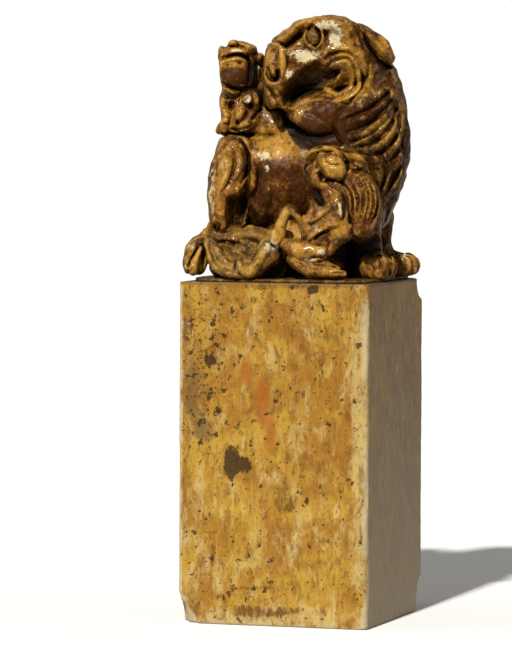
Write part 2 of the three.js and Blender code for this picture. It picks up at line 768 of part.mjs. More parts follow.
function tailRoot(grow) {
  return [
    limb(
      [
        [fanLeftX, 1.5, trunkRearZ - trunkHalfHeight + 2.4, tailRadius * 0.9, tailRadius * 0.9],
        [fanLeftX - 0.8, -2.5, 6, tailRadius, tailRadius],
        [fanLeftX - 0.6, -7, 4.6, tailRadius, tailRadius],
        [fanLeftX + 0.6, fanBackY - 1.6, 4, tailRadius * 0.85, tailRadius * 0.85],
      ],
      grow,
    ),
  ];
}

function riderBody(grow) {
  return [
    limb(
      [
        [0, 0, 0.6, riderBodyRadius, riderBodyRadius * 0.94],
        [0, -0.2, 0.5 * riderBodyHeight, riderBodyRadius * 1.03, riderBodyRadius * 0.94],
        [-0.1, -0.2, riderBodyHeight - 0.8, riderBodyRadius * 0.8, riderBodyRadius * 0.75],
      ],
      grow,
      upright,
    ),
  ];
}

const riderHeadZ = riderBodyHeight + 0.75 * riderHeadHalfHeight;

function riderHead(grow) {
  const wide = riderHeadHalfWidth;
  const high = riderHeadHalfHeight;
  return [
    egg([0, 0.3, riderHeadZ], [wide, 0.94 * wide, high], grow),
    egg([0.2, -0.72 * wide, riderHeadZ - 0.38 * high], [0.76 * wide, 0.5 * wide, 0.56 * high], grow, 10, 6),
  ];
}

const riderEar = (side, lift) => (grow) => [
  egg(
    [side * riderHeadHalfWidth * 0.96, 0.2, riderHeadZ + lift * riderHeadHalfHeight],
    [riderEarRadius * 0.8, riderEarRadius, riderEarRadius],
    grow,
    8,
    6,
  ),
];

const riderArm = (side) => (grow) => [
  limb(
    [
      [side * 0.7 * riderBodyRadius, -1, 0.74 * riderBodyHeight, riderLimbRadius, riderLimbRadius],
      [side * 0.55 * riderBodyRadius, -3, 0.5 * riderBodyHeight, riderLimbRadius, riderLimbRadius],
      [side * 0.35 * riderBodyRadius + 0.5, -3.7, 0.62 * riderBodyHeight, riderLimbRadius, riderLimbRadius],
    ],
    grow,
    { ...upright, sides: 8 },
  ),
];

const riderLeg = (side) => (grow) => [
  limb(
    [
      [side * 0.5 * riderBodyRadius, -1.6, 1, riderLimbRadius * 1.2, riderLimbRadius * 1.2],
      [side * 0.8 * riderBodyRadius, -3, 0.6, riderLimbRadius * 1.1, riderLimbRadius],
      [side * 0.95 * riderBodyRadius, -3.1, -0.4, riderLimbRadius, riderLimbRadius * 0.9],
    ],
    grow,
    { sides: 8 },
  ),
];

const climberHeadUp = climberHeadZ - ledgeHeight;

function climberHead(grow) {
  const size = climberHeadRadius;
  return [
    egg([0, 0, climberHeadUp], [size, 0.88 * size, size], grow),
    egg([-0.5 * size, -0.55 * size, climberHeadUp - 0.42 * size], [0.6 * size, 0.5 * size, 0.46 * size], grow, 8, 6),
  ];
}

const climberEar = (grow) => [
  egg([climberHeadRadius, 0.3, climberHeadUp + 1.6], [1.3 * climberEarRadius, climberEarRadius, climberEarRadius],
    grow, 8, 6),
];

function climberMane(grow) {
  const wide = climberManeHalfWidth;
  const thick = climberManeHalfThickness;
  return [
    limb(
      [
        [2, 1.2, climberHeadUp + 1, 0.72 * wide, 0.85 * thick],
        [4, 1.2, climberHeadUp - 2, 0.94 * wide, thick],
        [5.2, 0.6, 0.66 * climberHeadUp, wide, thick],
        [4.9, -0.4, 0.46 * climberHeadUp, 0.86 * wide, 0.95 * thick],
        [3.2, -1.4, 0.33 * climberHeadUp, 0.56 * wide, 0.7 * thick],
      ],
      grow,
      { ...upright, sides: 3 * climberManeLocks, locks: climberManeLocks, depth: climberLockDepth },
    ),
  ];
}

function climberBody(grow) {
  const girth = climberBodyRadius;
  return [
    limb(
      [
        [2.2, 1.2, 0.82 * climberHeadUp, 0.86 * girth, 0.82 * girth],
        [2.6, 0.4, 0.6 * climberHeadUp, girth, 0.88 * girth],
        [0.8, -1, 0.4 * climberHeadUp, girth, 0.9 * girth],
        [-1.8, -1.8, 0.27 * climberHeadUp, 0.75 * girth, 0.7 * girth],
      ],
      grow,
      upright,
    ),
  ];
}

function climberArm(grow) {
  const thick = climberLimbRadius;
  return [
    limb(
      [
        [-2.8, -1.5, 0.38 * climberHeadUp, 0.9 * thick, 0.9 * thick],
        [-4.5, -1.4, 0.52 * climberHeadUp, 0.72 * thick, 0.8 * thick],
        [-6.2, -1.5, 0.625 * climberHeadUp, 0.75 * thick, 0.8 * thick],
        [-8.2, -1.8, 0.52 * climberHeadUp, 0.78 * thick, 0.8 * thick],
        [-9.9, -2, 0.38 * climberHeadUp, 0.85 * thick, 0.8 * thick],
      ],
      grow,
      upright,
    ),
  ];
}

function climberHaunch(grow) {
  const thick = climberLimbRadius;
  return [
    limb(
      [
        [-4.8, -2, 5.2, 0.9 * thick, 0.9 * thick],
        [-2.8, -2.9, 4.9, 1.5 * thick, 1.4 * thick],
        [-0.5, -3.2, 4.2, 1.1 * thick, 1.05 * thick],
      ],
      grow,
    ),
  ];
}

function climberFoot(grow) {
  const thick = climberLimbRadius;
  const toes = [-1, 0, 1].map((k) =>
    egg([3.1 - 0.3 * k * k, -3.5 + 0.95 * k, 0.55 * thick], [1.1, 0.6, 0.7 * thick], grow, 8, 6),
  );
  return [
    limb(
      [
        [-3.6, -3, 1.3 * thick, 0.8 * thick, 0.8 * thick],
        [-1, -3.5, 0.7 * thick, 0.9 * thick, 0.7 * thick],
        [2.2, -3.5, 0.6 * thick, 0.9 * thick, 0.66 * thick],
      ],
      grow,
    ),
    ...toes,
  ];
}

// The regions of the carving, in the order in which they were brought out of the stone: what stands
// proudest comes first and keeps its whole form, and each later region ends a seam short of it.
const shoulderFarY = 5.4;
const shoulderNearY = -4.4;
const regions = [
  [rider, "rider_ear_left", stone.cub, riderEar(-1, 0.5)],
  [rider, "rider_ear_right", stone.cub, riderEar(1, 0.12)],
  [rider, "rider_arm_left", stone.cub, riderArm(-1)],
  [rider, "rider_arm_right", stone.cub, riderArm(1)],
  [rider, "rider_leg_left", stone.cub, riderLeg(-1)],
  [rider, "rider_leg_right", stone.cub, riderLeg(1)],
  [rider, "rider_head", stone.cub, riderHead],
  [rider, "rider_body", stone.cub, riderBody],
  [climber, "climber_ear", stone.cub, climberEar],
  [climber, "climber_head", stone.cub, climberHead],
  [climber, "climber_mane", stone.cub, climberMane],
  [climber, "climber_arm", stone.cub, climberArm],
  [climber, "climber_foot", stone.cub, climberFoot],
  [climber, "climber_haunch", stone.cub, climberHaunch],
  [climber, "climber_body", stone.cub, climberBody],
  [tail, "tail_curl", stone.tail, tailCurl],
  [tail, "tail_fan", stone.tail, tailFan],
  [head, "lion_eye_near", stone.eye, lionEye(-1)],
  [head, "lion_eye_far", stone.eye, lionEye(1)],
  [head, "lion_ear_near", stone.lion, lionEar(-1)],
  [head, "lion_ear_far", stone.lion, lionEar(1)],
  [head, "lion_head", stone.lion, lionHead],
  [head, "lion_lower_jaw", stone.lion, lionLowerJaw],
  [lion, "lion_mane", stone.mane, lionMane],
  [lion, "lion_forepaw_near", stone.lion, forePaw(forePawHeelX + 1, forelegNearY)],
  [lion, "lion_forepaw_far", stone.lion, forePaw(forePawHeelX, forelegFarY)],
  [lion, "lion_hindpaw_near", stone.lion, hindPaw(-1)],
  [lion, "lion_hindpaw_far", stone.lion, hindPaw(1)],
  [lion, "lion_haunch_near", stone.lion, haunch(-1)],
  [lion, "lion_haunch_far", stone.lion, haunch(1)],
  [lion, "lion_foreleg_near", stone.lion, foreleg(forelegNearX, forelegNearY, shoulderNearY)],
  [lion, "lion_foreleg_far", stone.lion, foreleg(forelegFarX, forelegFarY, shoulderFarY)],
  [tail, "tail_root", stone.tail, tailRoot],
  [lion, "lion_body", stone.lion, lionBody],
  [lion, "belly_web", stone.lion, bellyWeb],
];

place(carving, "ground_ledge", joined([ledgeForm()], carving.matrixWorld), stone.ledge);

// Everything below the top of the ledge is cut away flat, so that feet and tail rest on it face to face.
const ground = new THREE.BoxGeometry(3 * blockWidth, 3 * blockWidth, blockWidth);
ground.translate(0, 0, ledgeHeight - blockWidth / 2);
const shaped = [solid(ground, carving.matrixWorld)];

const added = (form) => form.add ?? form;

for (const [group, name, material, form] of regions) {
  const own = [form(0)].flatMap((made) => made.cut ?? []).map((tool) => solid(tool, group.matrixWorld));
  const whole = joined(added(form(0)), group.matrixWorld);
  const cut = [...own, ...shaped].reduce((made, tool) => made.subtract(tool), whole);
  place(group, name, largestBody(cut), material);
  shaped.push(joined(added(form(seam)), group.matrixWorld));
}

export default seal;
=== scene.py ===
"""Looks of the carved soapstone seal stamp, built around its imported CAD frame.

The animals are sculpted as fields of signed distances: in millimetres, negative inside the stone. The
forms of a figure are joined with small fillets, its details are drawn in relief in the photograph's
frame, the figures are joined, and the surface of each CAD region is meshed as a closed piece.
The square block below is a wrapped grid of points with worn edges and chips.

Lengths are millimetres until a mesh is made. Zero height in the carving is the top of the block.
"""

from __future__ import annotations

import logging
import math
from dataclasses import dataclass, replace
from enum import Enum
from typing import Any, Callable, Sequence

import bpy
import numpy as np
from mathutils import Matrix

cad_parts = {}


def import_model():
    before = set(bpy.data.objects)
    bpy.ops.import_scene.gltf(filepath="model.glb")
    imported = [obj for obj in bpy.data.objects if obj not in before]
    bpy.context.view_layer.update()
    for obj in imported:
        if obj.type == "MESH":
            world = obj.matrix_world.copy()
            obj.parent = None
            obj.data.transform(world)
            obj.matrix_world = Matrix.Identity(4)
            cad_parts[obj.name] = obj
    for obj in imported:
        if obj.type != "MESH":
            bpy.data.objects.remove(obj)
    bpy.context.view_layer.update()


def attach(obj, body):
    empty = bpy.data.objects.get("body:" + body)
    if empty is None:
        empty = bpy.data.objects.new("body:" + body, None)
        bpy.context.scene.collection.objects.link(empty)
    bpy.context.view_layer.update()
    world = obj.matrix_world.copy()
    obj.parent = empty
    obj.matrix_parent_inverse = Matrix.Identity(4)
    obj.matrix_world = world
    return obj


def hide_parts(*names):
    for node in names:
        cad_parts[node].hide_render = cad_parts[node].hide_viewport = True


LOG = logging.getLogger("seal")
MM = 0.001
BODY = "root"
BLOCK_TOP = 55.5
LEDGE_TOP = 0.6

# How far from the stone a field is followed, and the spacing of its lattice, in millimetres.
FAR = 4.0
MARGIN = 2.0
STEP = 0.25

# A little under pi, so that in single precision a sine up to it doesn't fall below 0.
NEARLY_PI = 3.1415

Array = np.ndarray
Point = tuple[float, float, float]
Pixel = tuple[float, float]
Rows = tuple[tuple[float, ...], ...]


def unit(vector: Sequence[float]) -> Array:
    """The vector at length one."""
    array = np.asarray(vector, float)
    return array / np.linalg.norm(array)


def component(place: Sequence[Array], way: Array) -> Array:
    """How far points lie along a direction, in single precision."""
    x, y, z = place
    return x * np.float32(way[0]) + y * np.float32(way[1]) + z * np.float32(way[2])


def smooth_curve(stations: Array, per_span: int) -> Array:
    """Rows on the smooth curve through the stations.

    Between two stations the curve is the Catmull-Rom cubic of the four stations a, b, c, d round the span:
    (2b + (c - a)t + (2a - 5b + 4c - d)t^2 + (3b - a - 3c + d)t^3) / 2.

    Args:
        stations: One row for each station, with any number of columns.
        per_span: Rows worked out for each span.

    Returns:
        The rows, the last station included.
    """
    ends = np.vstack([2 * stations[0] - stations[1], stations, 2 * stations[-1] - stations[-2]])
    t = np.linspace(0, 1, per_span, endpoint=False)[:, None]
    rows = []
    for a, b, c, d in zip(ends, ends[1:], ends[2:], ends[3:]):
        double = 2 * b + (c - a) * t + (2 * a - 5 * b + 4 * c - d) * t**2 + (3 * b - a - 3 * c + d) * t**3
        rows.append(double / 2)
    rows.append(stations[-1:])
    return np.vstack(rows)


def fillet_join(a: Array, b: Array, blend: float) -> Array:
    """The lesser of two fields with a fillet: min(a, b) - blend h^2 / 4, h = max(0, 1 - |a - b| / blend).

    Args:
        a: One field.
        b: The other.
        blend: How far apart the two may be where the fillet begins, in millimetres.

    Returns:
        The field of both solids together.
    """
    least = np.minimum(a, b)
    if blend <= 0:
        return least
    near = np.maximum(0, 1 - np.abs(a - b) / blend)
    return least - near * near * (blend / 4)


def fillet_cut(a: Array, tool: Array, blend: float) -> Array:
    """Field a with the tool's solid cut out of it, and the cut's edge rounded."""
    return -fillet_join(-a, tool, blend)


def ramp(values: Array, start: float, end: float) -> Array:
    """A smooth rise from 0 at start to 1 at end: 3t^2 - 2t^3."""
    t = np.clip((values - start) / (end - start), 0, 1)
    return t * t * (3 - 2 * t)


@dataclass(frozen=True)
class Sight:
    """The camera, as fitted to the block's corners in the photograph.

    Attributes:
        azimuth: Degrees that the camera stands round from the front, to the right.
        pitch: Degrees that it looks down.
        roll: Degrees that it leans.
        distance: From the aim to the camera, in millimetres.
        across: The camera's shift to the right.
        rise: The camera's shift upwards.
        focal: The focal length in pixels.
        aim: The height of the point aimed at.
        width: The photograph's width in pixels.
        height: The photograph's height in pixels.
    """

    azimuth: float = 17.951
    pitch: float = 2.872
    roll: float = 0.206
    distance: float = 746.261
    across: float = -7.632
    rise: float = -1.099
    focal: float = 4546.278
    aim: float = 49.0
    width: int = 512
    height: int = 651

    def axes(self) -> tuple[Array, Array, Array]:
        """The camera's own right, up and back directions."""
        a, e, r = (math.radians(angle) for angle in (self.azimuth, self.pitch, self.roll))
        back = np.array([math.sin(a) * math.cos(e), -math.cos(a) * math.cos(e), math.sin(e)])
        right = np.array([math.cos(a), math.sin(a), 0.0])
        up = np.cross(back, right)
        return right * math.cos(r) + up * math.sin(r), up * math.cos(r) - right * math.sin(r), back

    def eye(self) -> Array:
        """Where the camera is, in the object's frame."""
        right, up, back = replace(self, roll=0.0).axes()
        return back * self.distance + right * self.across + up * self.rise + np.array([0, 0, self.aim])

    def project(self, x: Array, y: Array, z: Array) -> tuple[Array, Array, Array]:
        """Pixel and depth of points of the carving, given as arrays that broadcast together."""
        eye = self.eye()
        x, y, z = x - eye[0], y - eye[1], z + BLOCK_TOP - eye[2]
        right, up, back = (x * axis[0] + y * axis[1] + z * axis[2] for axis in self.axes())
        scale = self.focal / -back
        return self.width / 2 + right * scale, self.height / 2 - up * scale, -back

    def point(self, pixel: Pixel, y: float) -> Array:
        """The point of the carving that shows at a pixel and lies at the given y."""
        right, up, back = self.axes()
        ray = right * (pixel[0] - self.width / 2) - up * (pixel[1] - self.height / 2) - back * self.focal
        eye = self.eye()
        return eye + ray * ((y - eye[1]) / ray[1]) - np.array([0, 0, BLOCK_TOP])

    @property
    def pixel(self) -> float:
        """The size of a pixel at the aim, in millimetres."""
        return self.distance / self.focal


PHOTO = Sight()


class Lump:
    """A box of the lattice with a distance at each of its points.

    Point (i, j, k) of the box lies at (first + (i, j, k)) STEP, in millimetres.
    """

    def __init__(self, low: Sequence[float], high: Sequence[float]) -> None:
        """An empty box from low to high, in millimetres."""
        self.first = np.floor(np.asarray(low) / STEP).astype(int)
        last = np.ceil(np.asarray(high) / STEP).astype(int)
        self.values = np.full(tuple(last - self.first + 1), FAR, np.float32)

    @property
    def last(self) -> Array:
        """The lattice index of the box's last point."""
        return self.first + np.array(self.values.shape) - 1

    def window(self, first: Array, last: Array) -> tuple[slice, ...]:
        """The part of the box between two lattice indices, as slices."""
        start = np.clip(first - self.first, 0, self.values.shape)
        stop = np.clip(last - self.first + 1, 0, self.values.shape)
        return tuple(slice(a, max(a, b)) for a, b in zip(start, stop))

    def axes(self, part: tuple[slice, ...] | None = None) -> list[Array]:
        """The open axes of a part of the box, or of all of it, in millimetres."""
        part = part or tuple(slice(0, count) for count in self.values.shape)
        axes = []
        for i, cut in enumerate(part):
            shape = [1, 1, 1]
            shape[i] = -1
            line = (self.first[i] + np.arange(cut.start, cut.stop)) * STEP
            axes.append(line.astype(np.float32).reshape(shape))
        return axes

    def around(self, low: Array, high: Array) -> tuple[tuple[slice, ...], list[Array]]:
        """The slices and the open axes of the part between two corners."""
        part = self.window(np.floor(low / STEP).astype(int), np.ceil(high / STEP).astype(int))
        return part, self.axes(part)

    def join(self, other: "Lump", blend: float) -> None:
        """Joins another box's solid to this one, inside this box."""
        mine = self.window(other.first, other.last)
        theirs = other.window(self.first, self.last)
        self.values[mine] = fillet_join(self.values[mine], other.values[theirs], blend)

    def cut(self, tool: "Lump", blend: float) -> None:
        """Cuts another box's solid out of this one."""
        mine = self.window(tool.first, tool.last)
        theirs = tool.window(self.first, self.last)
        self.values[mine] = fillet_cut(self.values[mine], tool.values[theirs], blend)

    def part(self, first: Array, last: Array) -> "Lump":
        """The part between two lattice indices, as a box of its own."""
        made = Lump(np.zeros(3), np.zeros(3))
        made.first, last = np.array(first), np.array(last)
        made.values = np.full(tuple(last - made.first + 1), FAR, np.float32)
        made.values[made.window(self.first, self.last)] = self.values[self.window(made.first, last)]
        return made

    def at(self, points: Array) -> Array:
        """The field at any points: a straight mix of the eight lattice points round each."""
        place = np.clip(points / STEP - self.first, 0, np.array(self.values.shape) - 1.001)
        base = place.astype(int)
        t = (place - base).astype(np.float32)
        total = np.zeros(len(points), np.float32)
        for corner in np.ndindex(2, 2, 2):
            share = np.prod([t[:, i] if corner[i] else 1 - t[:, i] for i in range(3)], axis=0)
            total += share * self.values[tuple((base + corner).T)]
        return total

    def slope(self, points: Array, reach: float = STEP) -> Array:
        """The field's slope at any points, from differences over twice the reach."""
        slopes = np.empty((len(points), 3))
        for i in range(3):
            shift = np.zeros(3)
            shift[i] = reach
            slopes[:, i] = (self.at(points + shift) - self.at(points - shift)) / (2 * reach)
        return slopes

    def settle(self, points: Array, rounds: int = 3) -> Array:
        """Points moved along the slope onto the surface, where the field is zero."""
        moved = points.copy()
        for _ in range(rounds):
            slopes = self.slope(moved, STEP / 2)
            size = np.maximum((slopes**2).sum(1), 0.2)
            step = np.clip(self.at(moved), -STEP / 2, STEP / 2)
            moved -= (step / size)[:, None] * slopes
        return moved

    def surface(self) -> tuple[Array, Array]:
        """The zero surface as points and quads.

        A cell that the surface passes has one point, the mean of the crossings on its twelve edges, and
        each lattice edge that the surface crosses has a quad through the four cells round it.
        """
        inside = self.values < 0
        shape = np.array(self.values.shape) - 1
        total = np.zeros((*shape, 3), np.float32)
        count = np.zeros(tuple(shape), np.float32)
        crossings = []
        ring_order = ((0, 0), (1, 0), (1, 1), (0, 1))
        for axis in range(3):
            low = [slice(None)] * 3
            high = [slice(None)] * 3
            low[axis] = slice(0, -1)
            high[axis] = slice(1, None)
            a, b = self.values[tuple(low)], self.values[tuple(high)]
            edge = np.argwhere(inside[tuple(low)] != inside[tuple(high)])
            at = tuple(edge.T)
            place = edge.astype(np.float32)
            place[:, axis] += a[at] / (a[at] - b[at])
            others = [i for i in range(3) if i != axis]
            for one, two in ring_order:
                cell = edge.copy()
                cell[:, others[0]] -= one
                cell[:, others[1]] -= two
                np.add.at(total, tuple(cell.T), place)
                np.add.at(count, tuple(cell.T), 1)
            crossings.append((axis, others, edge, inside[tuple(low)][at]))
        cells = np.argwhere(count > 0)
        at = tuple(cells.T)
        number = np.full(tuple(shape), -1, np.int64)
        number[at] = np.arange(len(cells))
        points = (total[at] / count[at][:, None] + self.first) * STEP
        quads = []
        for axis, others, edge, starts_inside in crossings:
            ring = []
            for one, two in ring_order:
                cell = edge.copy()
                cell[:, others[0]] -= one
                cell[:, others[1]] -= two
                ring.append(number[tuple(cell.T)])
            quad = np.stack(ring, axis=1)
            turn = ~starts_inside if axis != 1 else starts_inside
            quad[turn] = quad[turn][:, ::-1]
            quads.append(quad)
        return points.astype(float), np.vstack(quads)


@dataclass(frozen=True)
class Pose:
    """Where a figure's own frame stands in the carving: nodded about Y, turned about Z, then moved."""

    origin: Point = (0, 0, 0)
    turn: float = 0
    nod: float = 0

    def matrix(self) -> Array:
        """The turn times the nod."""
        a, b = math.radians(self.turn), math.radians(self.nod)
        about_z = np.array([[math.cos(a), -math.sin(a), 0], [math.sin(a), math.cos(a), 0], [0, 0, 1]])
        about_y = np.array([[math.cos(b), 0, math.sin(b)], [0, 1, 0], [-math.sin(b), 0, math.cos(b)]])
        return about_z @ about_y

    def place(self, points: Array) -> Array:
        """Points of the frame in the carving's frame."""
        return points @ self.matrix().T + np.array(self.origin)

    def within(self, points: Array) -> Array:
        """Points of the carving in the frame."""
        return (points - np.array(self.origin)) @ self.matrix()


@dataclass(frozen=True)
class Limb:
    """Elliptical sections carried along a smooth curve, with domed ends.

    A station is (x, y, z, half width, half height). For a point off the curve by u across and v upwards,
    and w past its end, e^2 = (u / width)^2 + (v / height)^2 + (w / dome)^2, and the distance is
    |offset| (1 - 1 / e). Locks are ridges along the limb, which scale the section by
    1 + depth cos(locks (angle + swirl 2 pi way)).
    """

    stations: Rows
    up: Point = (0, 0, 1)
    locks: int = 0
    depth: float = 0.0
    swirl: float = 0.0
    dome: float = 0.8
    square: float = 2.0
    per_span: int = 5
    blend: float = 0.8

    def field(self, pose: Pose) -> Lump:
        """The limb's own box of distances."""
        rows = smooth_curve(np.array(self.stations, float), self.per_span)
        centres = pose.place(rows[:, :3])
        radii = np.maximum(rows[:, 3:5], 0.12)
        up = pose.matrix() @ np.array(self.up, float)
        widest = radii.max() * (1 + self.depth) + MARGIN
        lump = Lump(centres.min(0) - widest, centres.max(0) + widest)
        count = len(centres) - 1
        for i in range(count):
            span = centres[i + 1] - centres[i]
            length = max(float(np.linalg.norm(span)), 1e-6)
            tangent = span / length
            side = unit(np.cross(up, tangent))
            top = np.cross(tangent, side)
            reach = max(radii[i].max(), radii[i + 1].max()) * (1 + self.depth) + MARGIN
            dome = self.dome * min(radii[i].min(), radii[i + 1].min())
            low = np.minimum(centres[i], centres[i + 1]) - reach
            high = np.maximum(centres[i], centres[i + 1]) + reach
            part, axes = lump.around(low, high)
            place = [a - np.float32(b) for a, b in zip(axes, centres[i])]
            way = component(place, tangent)
            t = np.clip(way / length, 0, 1)
            u, v = component(place, side), component(place, top)
            w = way - t * length
            wide = radii[i, 0] + t * (radii[i + 1, 0] - radii[i, 0])
            tall = radii[i, 1] + t * (radii[i + 1, 1] - radii[i, 1])
            if self.locks:
                fraction = (i + t) / count
                angle = np.arctan2(v / tall, u / wide)
                fade = np.sqrt(np.sin(NEARLY_PI * np.clip(fraction, 0, 1)))
                twist = angle + self.swirl * 2 * np.pi * fraction
                ripple = 1 + self.depth * fade * np.cos(self.locks * twist)
                wide, tall = wide * ripple, tall * ripple
            if self.square == 2:
                section = (u / wide) ** 2 + (v / tall) ** 2
            else:
                section = np.abs(u / wide) ** self.square + np.abs(v / tall) ** self.square
                section = section ** (2 / self.square)
            e = np.sqrt(section + (w / max(dome, 0.05)) ** 2) + 1e-3
            offset = np.sqrt(u * u + v * v + w * w) + 1e-3
            lump.values[part] = np.minimum(lump.values[part], (offset * (1 - 1 / e)).astype(np.float32))
        return lump


@dataclass(frozen=True)
class Egg:
    """An ellipsoid, tilted about Y.

    The distance is |offset| (1 - 1 / e), where e is the offset over the half sizes.
    """

    centre: Point
    halves: Point
    tilt: float = 0.0
    blend: float = 0.8

    def field(self, pose: Pose) -> Lump:
        """The egg's own box of distances."""
        axes = (pose.matrix() @ Pose(nod=self.tilt).matrix()).T
        centre = pose.place(np.array([self.centre], float))[0]
        reach = max(self.halves) + MARGIN
        lump = Lump(centre - reach, centre + reach)
        x, y, z = (a - b for a, b in zip(lump.axes(), centre))
        u, v, w = (
            (x * axis[0] + y * axis[1] + z * axis[2]) / half for axis, half in zip(axes, self.halves)
        )
        e = np.sqrt(u**2 + v**2 + w**2) + 1e-3
        offset = np.sqrt(x * x + y * y + z * z)
        lump.values[:] = np.minimum(FAR, offset * (1 - 1 / e))
        return lump


@dataclass(frozen=True)
class Sheet:
    """A curved sheet given as a height over X and Y, with a thickness and an outline.

    The distance is the greater of two: |z - height| / sqrt(1 + slope^2) less half the thickness, and the
    outline's.
    """

    height: Callable[[Array, Array], Array]
    outline: Callable[[Array, Array], Array]
    low: Point
    high: Point
    thickness: float
    blend: float = 0.5

    def field(self, pose: Pose) -> Lump:
        """The sheet's own box of distances. A sheet is given in the carving's own frame."""
        lump = Lump(pose.place(np.array(self.low)) - MARGIN, np.array(self.high) + MARGIN)
        x, y, z = lump.axes()
        level = self.height(x, y)
        slope_x = (self.height(x + STEP, y) - level) / STEP
        slope_y = (self.height(x, y + STEP) - level) / STEP
        upright = np.sqrt(1 + np.minimum(slope_x**2 + slope_y**2, 9))
        sheet = np.abs(z - level) / upright - self.thickness / 2
        joined = fillet_join(-sheet, -self.outline(x, y) + 0 * z, self.thickness / 2)
        lump.values[:] = np.minimum(FAR, -joined)
        return lump


Form = Limb | Egg | Sheet


def traced_limb(rows: Rows, blend: float = 0.6, dome: float = 0.9, **more: Any) -> Limb:
    """A limb drawn on the photograph.

    Args:
        rows: For each station its pixel, its y, its half width in pixels and its half depth in millimetres.
        blend: The fillet to the forms before it.
        dome: How far its ends bulge, as a share of the lesser half size.
        more: Other fields of the limb.

    Returns:
        The limb in the carving's frame.
    """
    stations = tuple(
        (*PHOTO.point((px, py), y), wide * PHOTO.pixel, deep) for px, py, y, wide, deep in rows
    )
    return Limb(stations, up=tuple(PHOTO.axes()[2]), blend=blend, dome=dome, **more)


def traced_egg(pixel: Pixel, y: float, wide: float, tall: float, deep: float, blend: float = 0.6) -> Egg:
    """An egg drawn on the photograph, with half sizes in pixels across and up and in millimetres deep."""
    return Egg(tuple(PHOTO.point(pixel, y)), (wide * PHOTO.pixel, deep, tall * PHOTO.pixel), blend=blend)


class Profile(Enum):
    """The section of a stroke of relief."""

    ROUND = "round"
    SHARP = "sharp"
    FLAT = "flat"


@dataclass(frozen=True)
class Stroke:
    """A ridge or a groove drawn on the photograph.

    Attributes:
        height: How far it stands out, in millimetres. A groove's is negative.
        width: Its half width in pixels.
        points: The pixels that it passes.
        profile: Its section.
        taper: How far its ends thin out, from 0 to 1.
    """

    height: float
    width: float
    points: tuple[Pixel, ...]
    profile: Profile = Profile.ROUND
    taper: float = 0.6


@dataclass(frozen=True)
class Hollow:
    """A pocket cut along the line of sight.

    Attributes:
        depth: How far its floor lies below the surface, in millimetres.
        outline: The pixels round its mouth.
        slope: How far its walls lean in, in millimetres.
    """

    depth: float
    outline: tuple[Pixel, ...]
    slope: float = 0.8


class Drawing:
    """A grid over the part of the photograph that shows the carving, at a few cells a pixel."""

    LEFT, TOP, RIGHT, FOOT, FINE = 165.0, -5.0, 440.0, 300.0, 2.0

    def __init__(self) -> None:
        """An empty drawing."""
        self.x = np.arange(self.LEFT, self.RIGHT, 1 / self.FINE)[:, None]
        self.y = np.arange(self.TOP, self.FOOT, 1 / self.FINE)[None, :]
        self.relief = np.zeros((self.x.size, self.y.size), np.float32)

    def stroke(self, stroke: Stroke) -> None:
        """Adds a stroke: height times its section over the distance to its smooth curve."""
        curve = smooth_curve(np.array(stroke.points, float), 4)
        corner = np.array([self.LEFT, self.TOP])
        low = np.maximum(((curve.min(0) - stroke.width - corner) * self.FINE).astype(int), 0)
        high = np.maximum(((curve.max(0) + stroke.width - corner) * self.FINE).astype(int) + 2, 0)
        x = self.x[low[0] : high[0]]
        y = self.y[:, low[1] : high[1]]
        if x.size == 0 or y.size == 0:
            return
        best = np.full((x.size, y.size), 1e3)
        way = np.zeros_like(best)
        count = len(curve) - 1
        for i, (a, b) in enumerate(zip(curve, curve[1:])):
            t, gap = self.nearest(x, y, a, b)
            nearer = gap < best
            best = np.where(nearer, gap, best)
            way = np.where(nearer, (i + t) / count, way)
        thin = 1 - stroke.taper * np.abs(2 * way - 1) ** 3
        t = np.clip(1 - best / (stroke.width * (0.35 + 0.65 * thin)), 0, 1)
        section = {
            Profile.ROUND: np.sqrt(np.clip(1 - (1 - t) ** 2, 0, 1)) * t**0.5,
            Profile.SHARP: t * t * (3 - 2 * t),
            Profile.FLAT: np.clip(3 * t, 0, 1) ** 2 * (3 - 2 * np.clip(3 * t, 0, 1)),
        }[stroke.profile]
        window = (slice(low[0], high[0]), slice(low[1], high[1]))
        self.relief[window] += (stroke.height * thin * section).astype(np.float32)

    @staticmethod
    def nearest(x: Array, y: Array, a: Array, b: Array) -> tuple[Array, Array]:
        """How far along the line from a to b each cell's nearest point lies, from 0 to 1, and the gap."""
        along = b - a
        t = np.clip(((x - a[0]) * along[0] + (y - a[1]) * along[1]) / max(along @ along, 1e-6), 0, 1)
        return t, np.hypot(x - a[0] - t * along[0], y - a[1] - t * along[1])

    def inside(self, outline: Sequence[Pixel]) -> Array:
        """The distance into an outline at each cell, in millimetres: negative outside it."""
        corners = np.array(outline, float)
        best = np.full(self.relief.shape, 1e3)
        crossed = np.zeros(self.relief.shape, bool)
        for a, b in zip(corners, np.roll(corners, -1, axis=0)):
            best = np.minimum(best, self.nearest(self.x, self.y, a, b)[1])
            if a[1] != b[1]:
                level = (self.y - a[1]) / (b[1] - a[1])
                crossed ^= ((a[1] > self.y) != (b[1] > self.y)) & (self.x < a[0] + level * (b[0] - a[0]))
        return (np.where(crossed, best, -best) * PHOTO.pixel).astype(np.float32)

    def look_up(self, picture: Array, px: Array, py: Array) -> Array:
        """A picture's value at any pixels: a straight mix of the four cells round each."""
        x = np.clip((px - self.LEFT) * self.FINE, 0, picture.shape[0] - 1.001)
        y = np.clip((py - self.TOP) * self.FINE, 0, picture.shape[1] - 1.001)
        i, j = x.astype(int), y.astype(int)
        s, t = x - i, y - j
        left = picture[i, j] * (1 - t) + picture[i, j + 1] * t
        right = picture[i + 1, j] * (1 - t) + picture[i + 1, j + 1] * t
        return (left * (1 - s) + right * s).astype(np.float32)


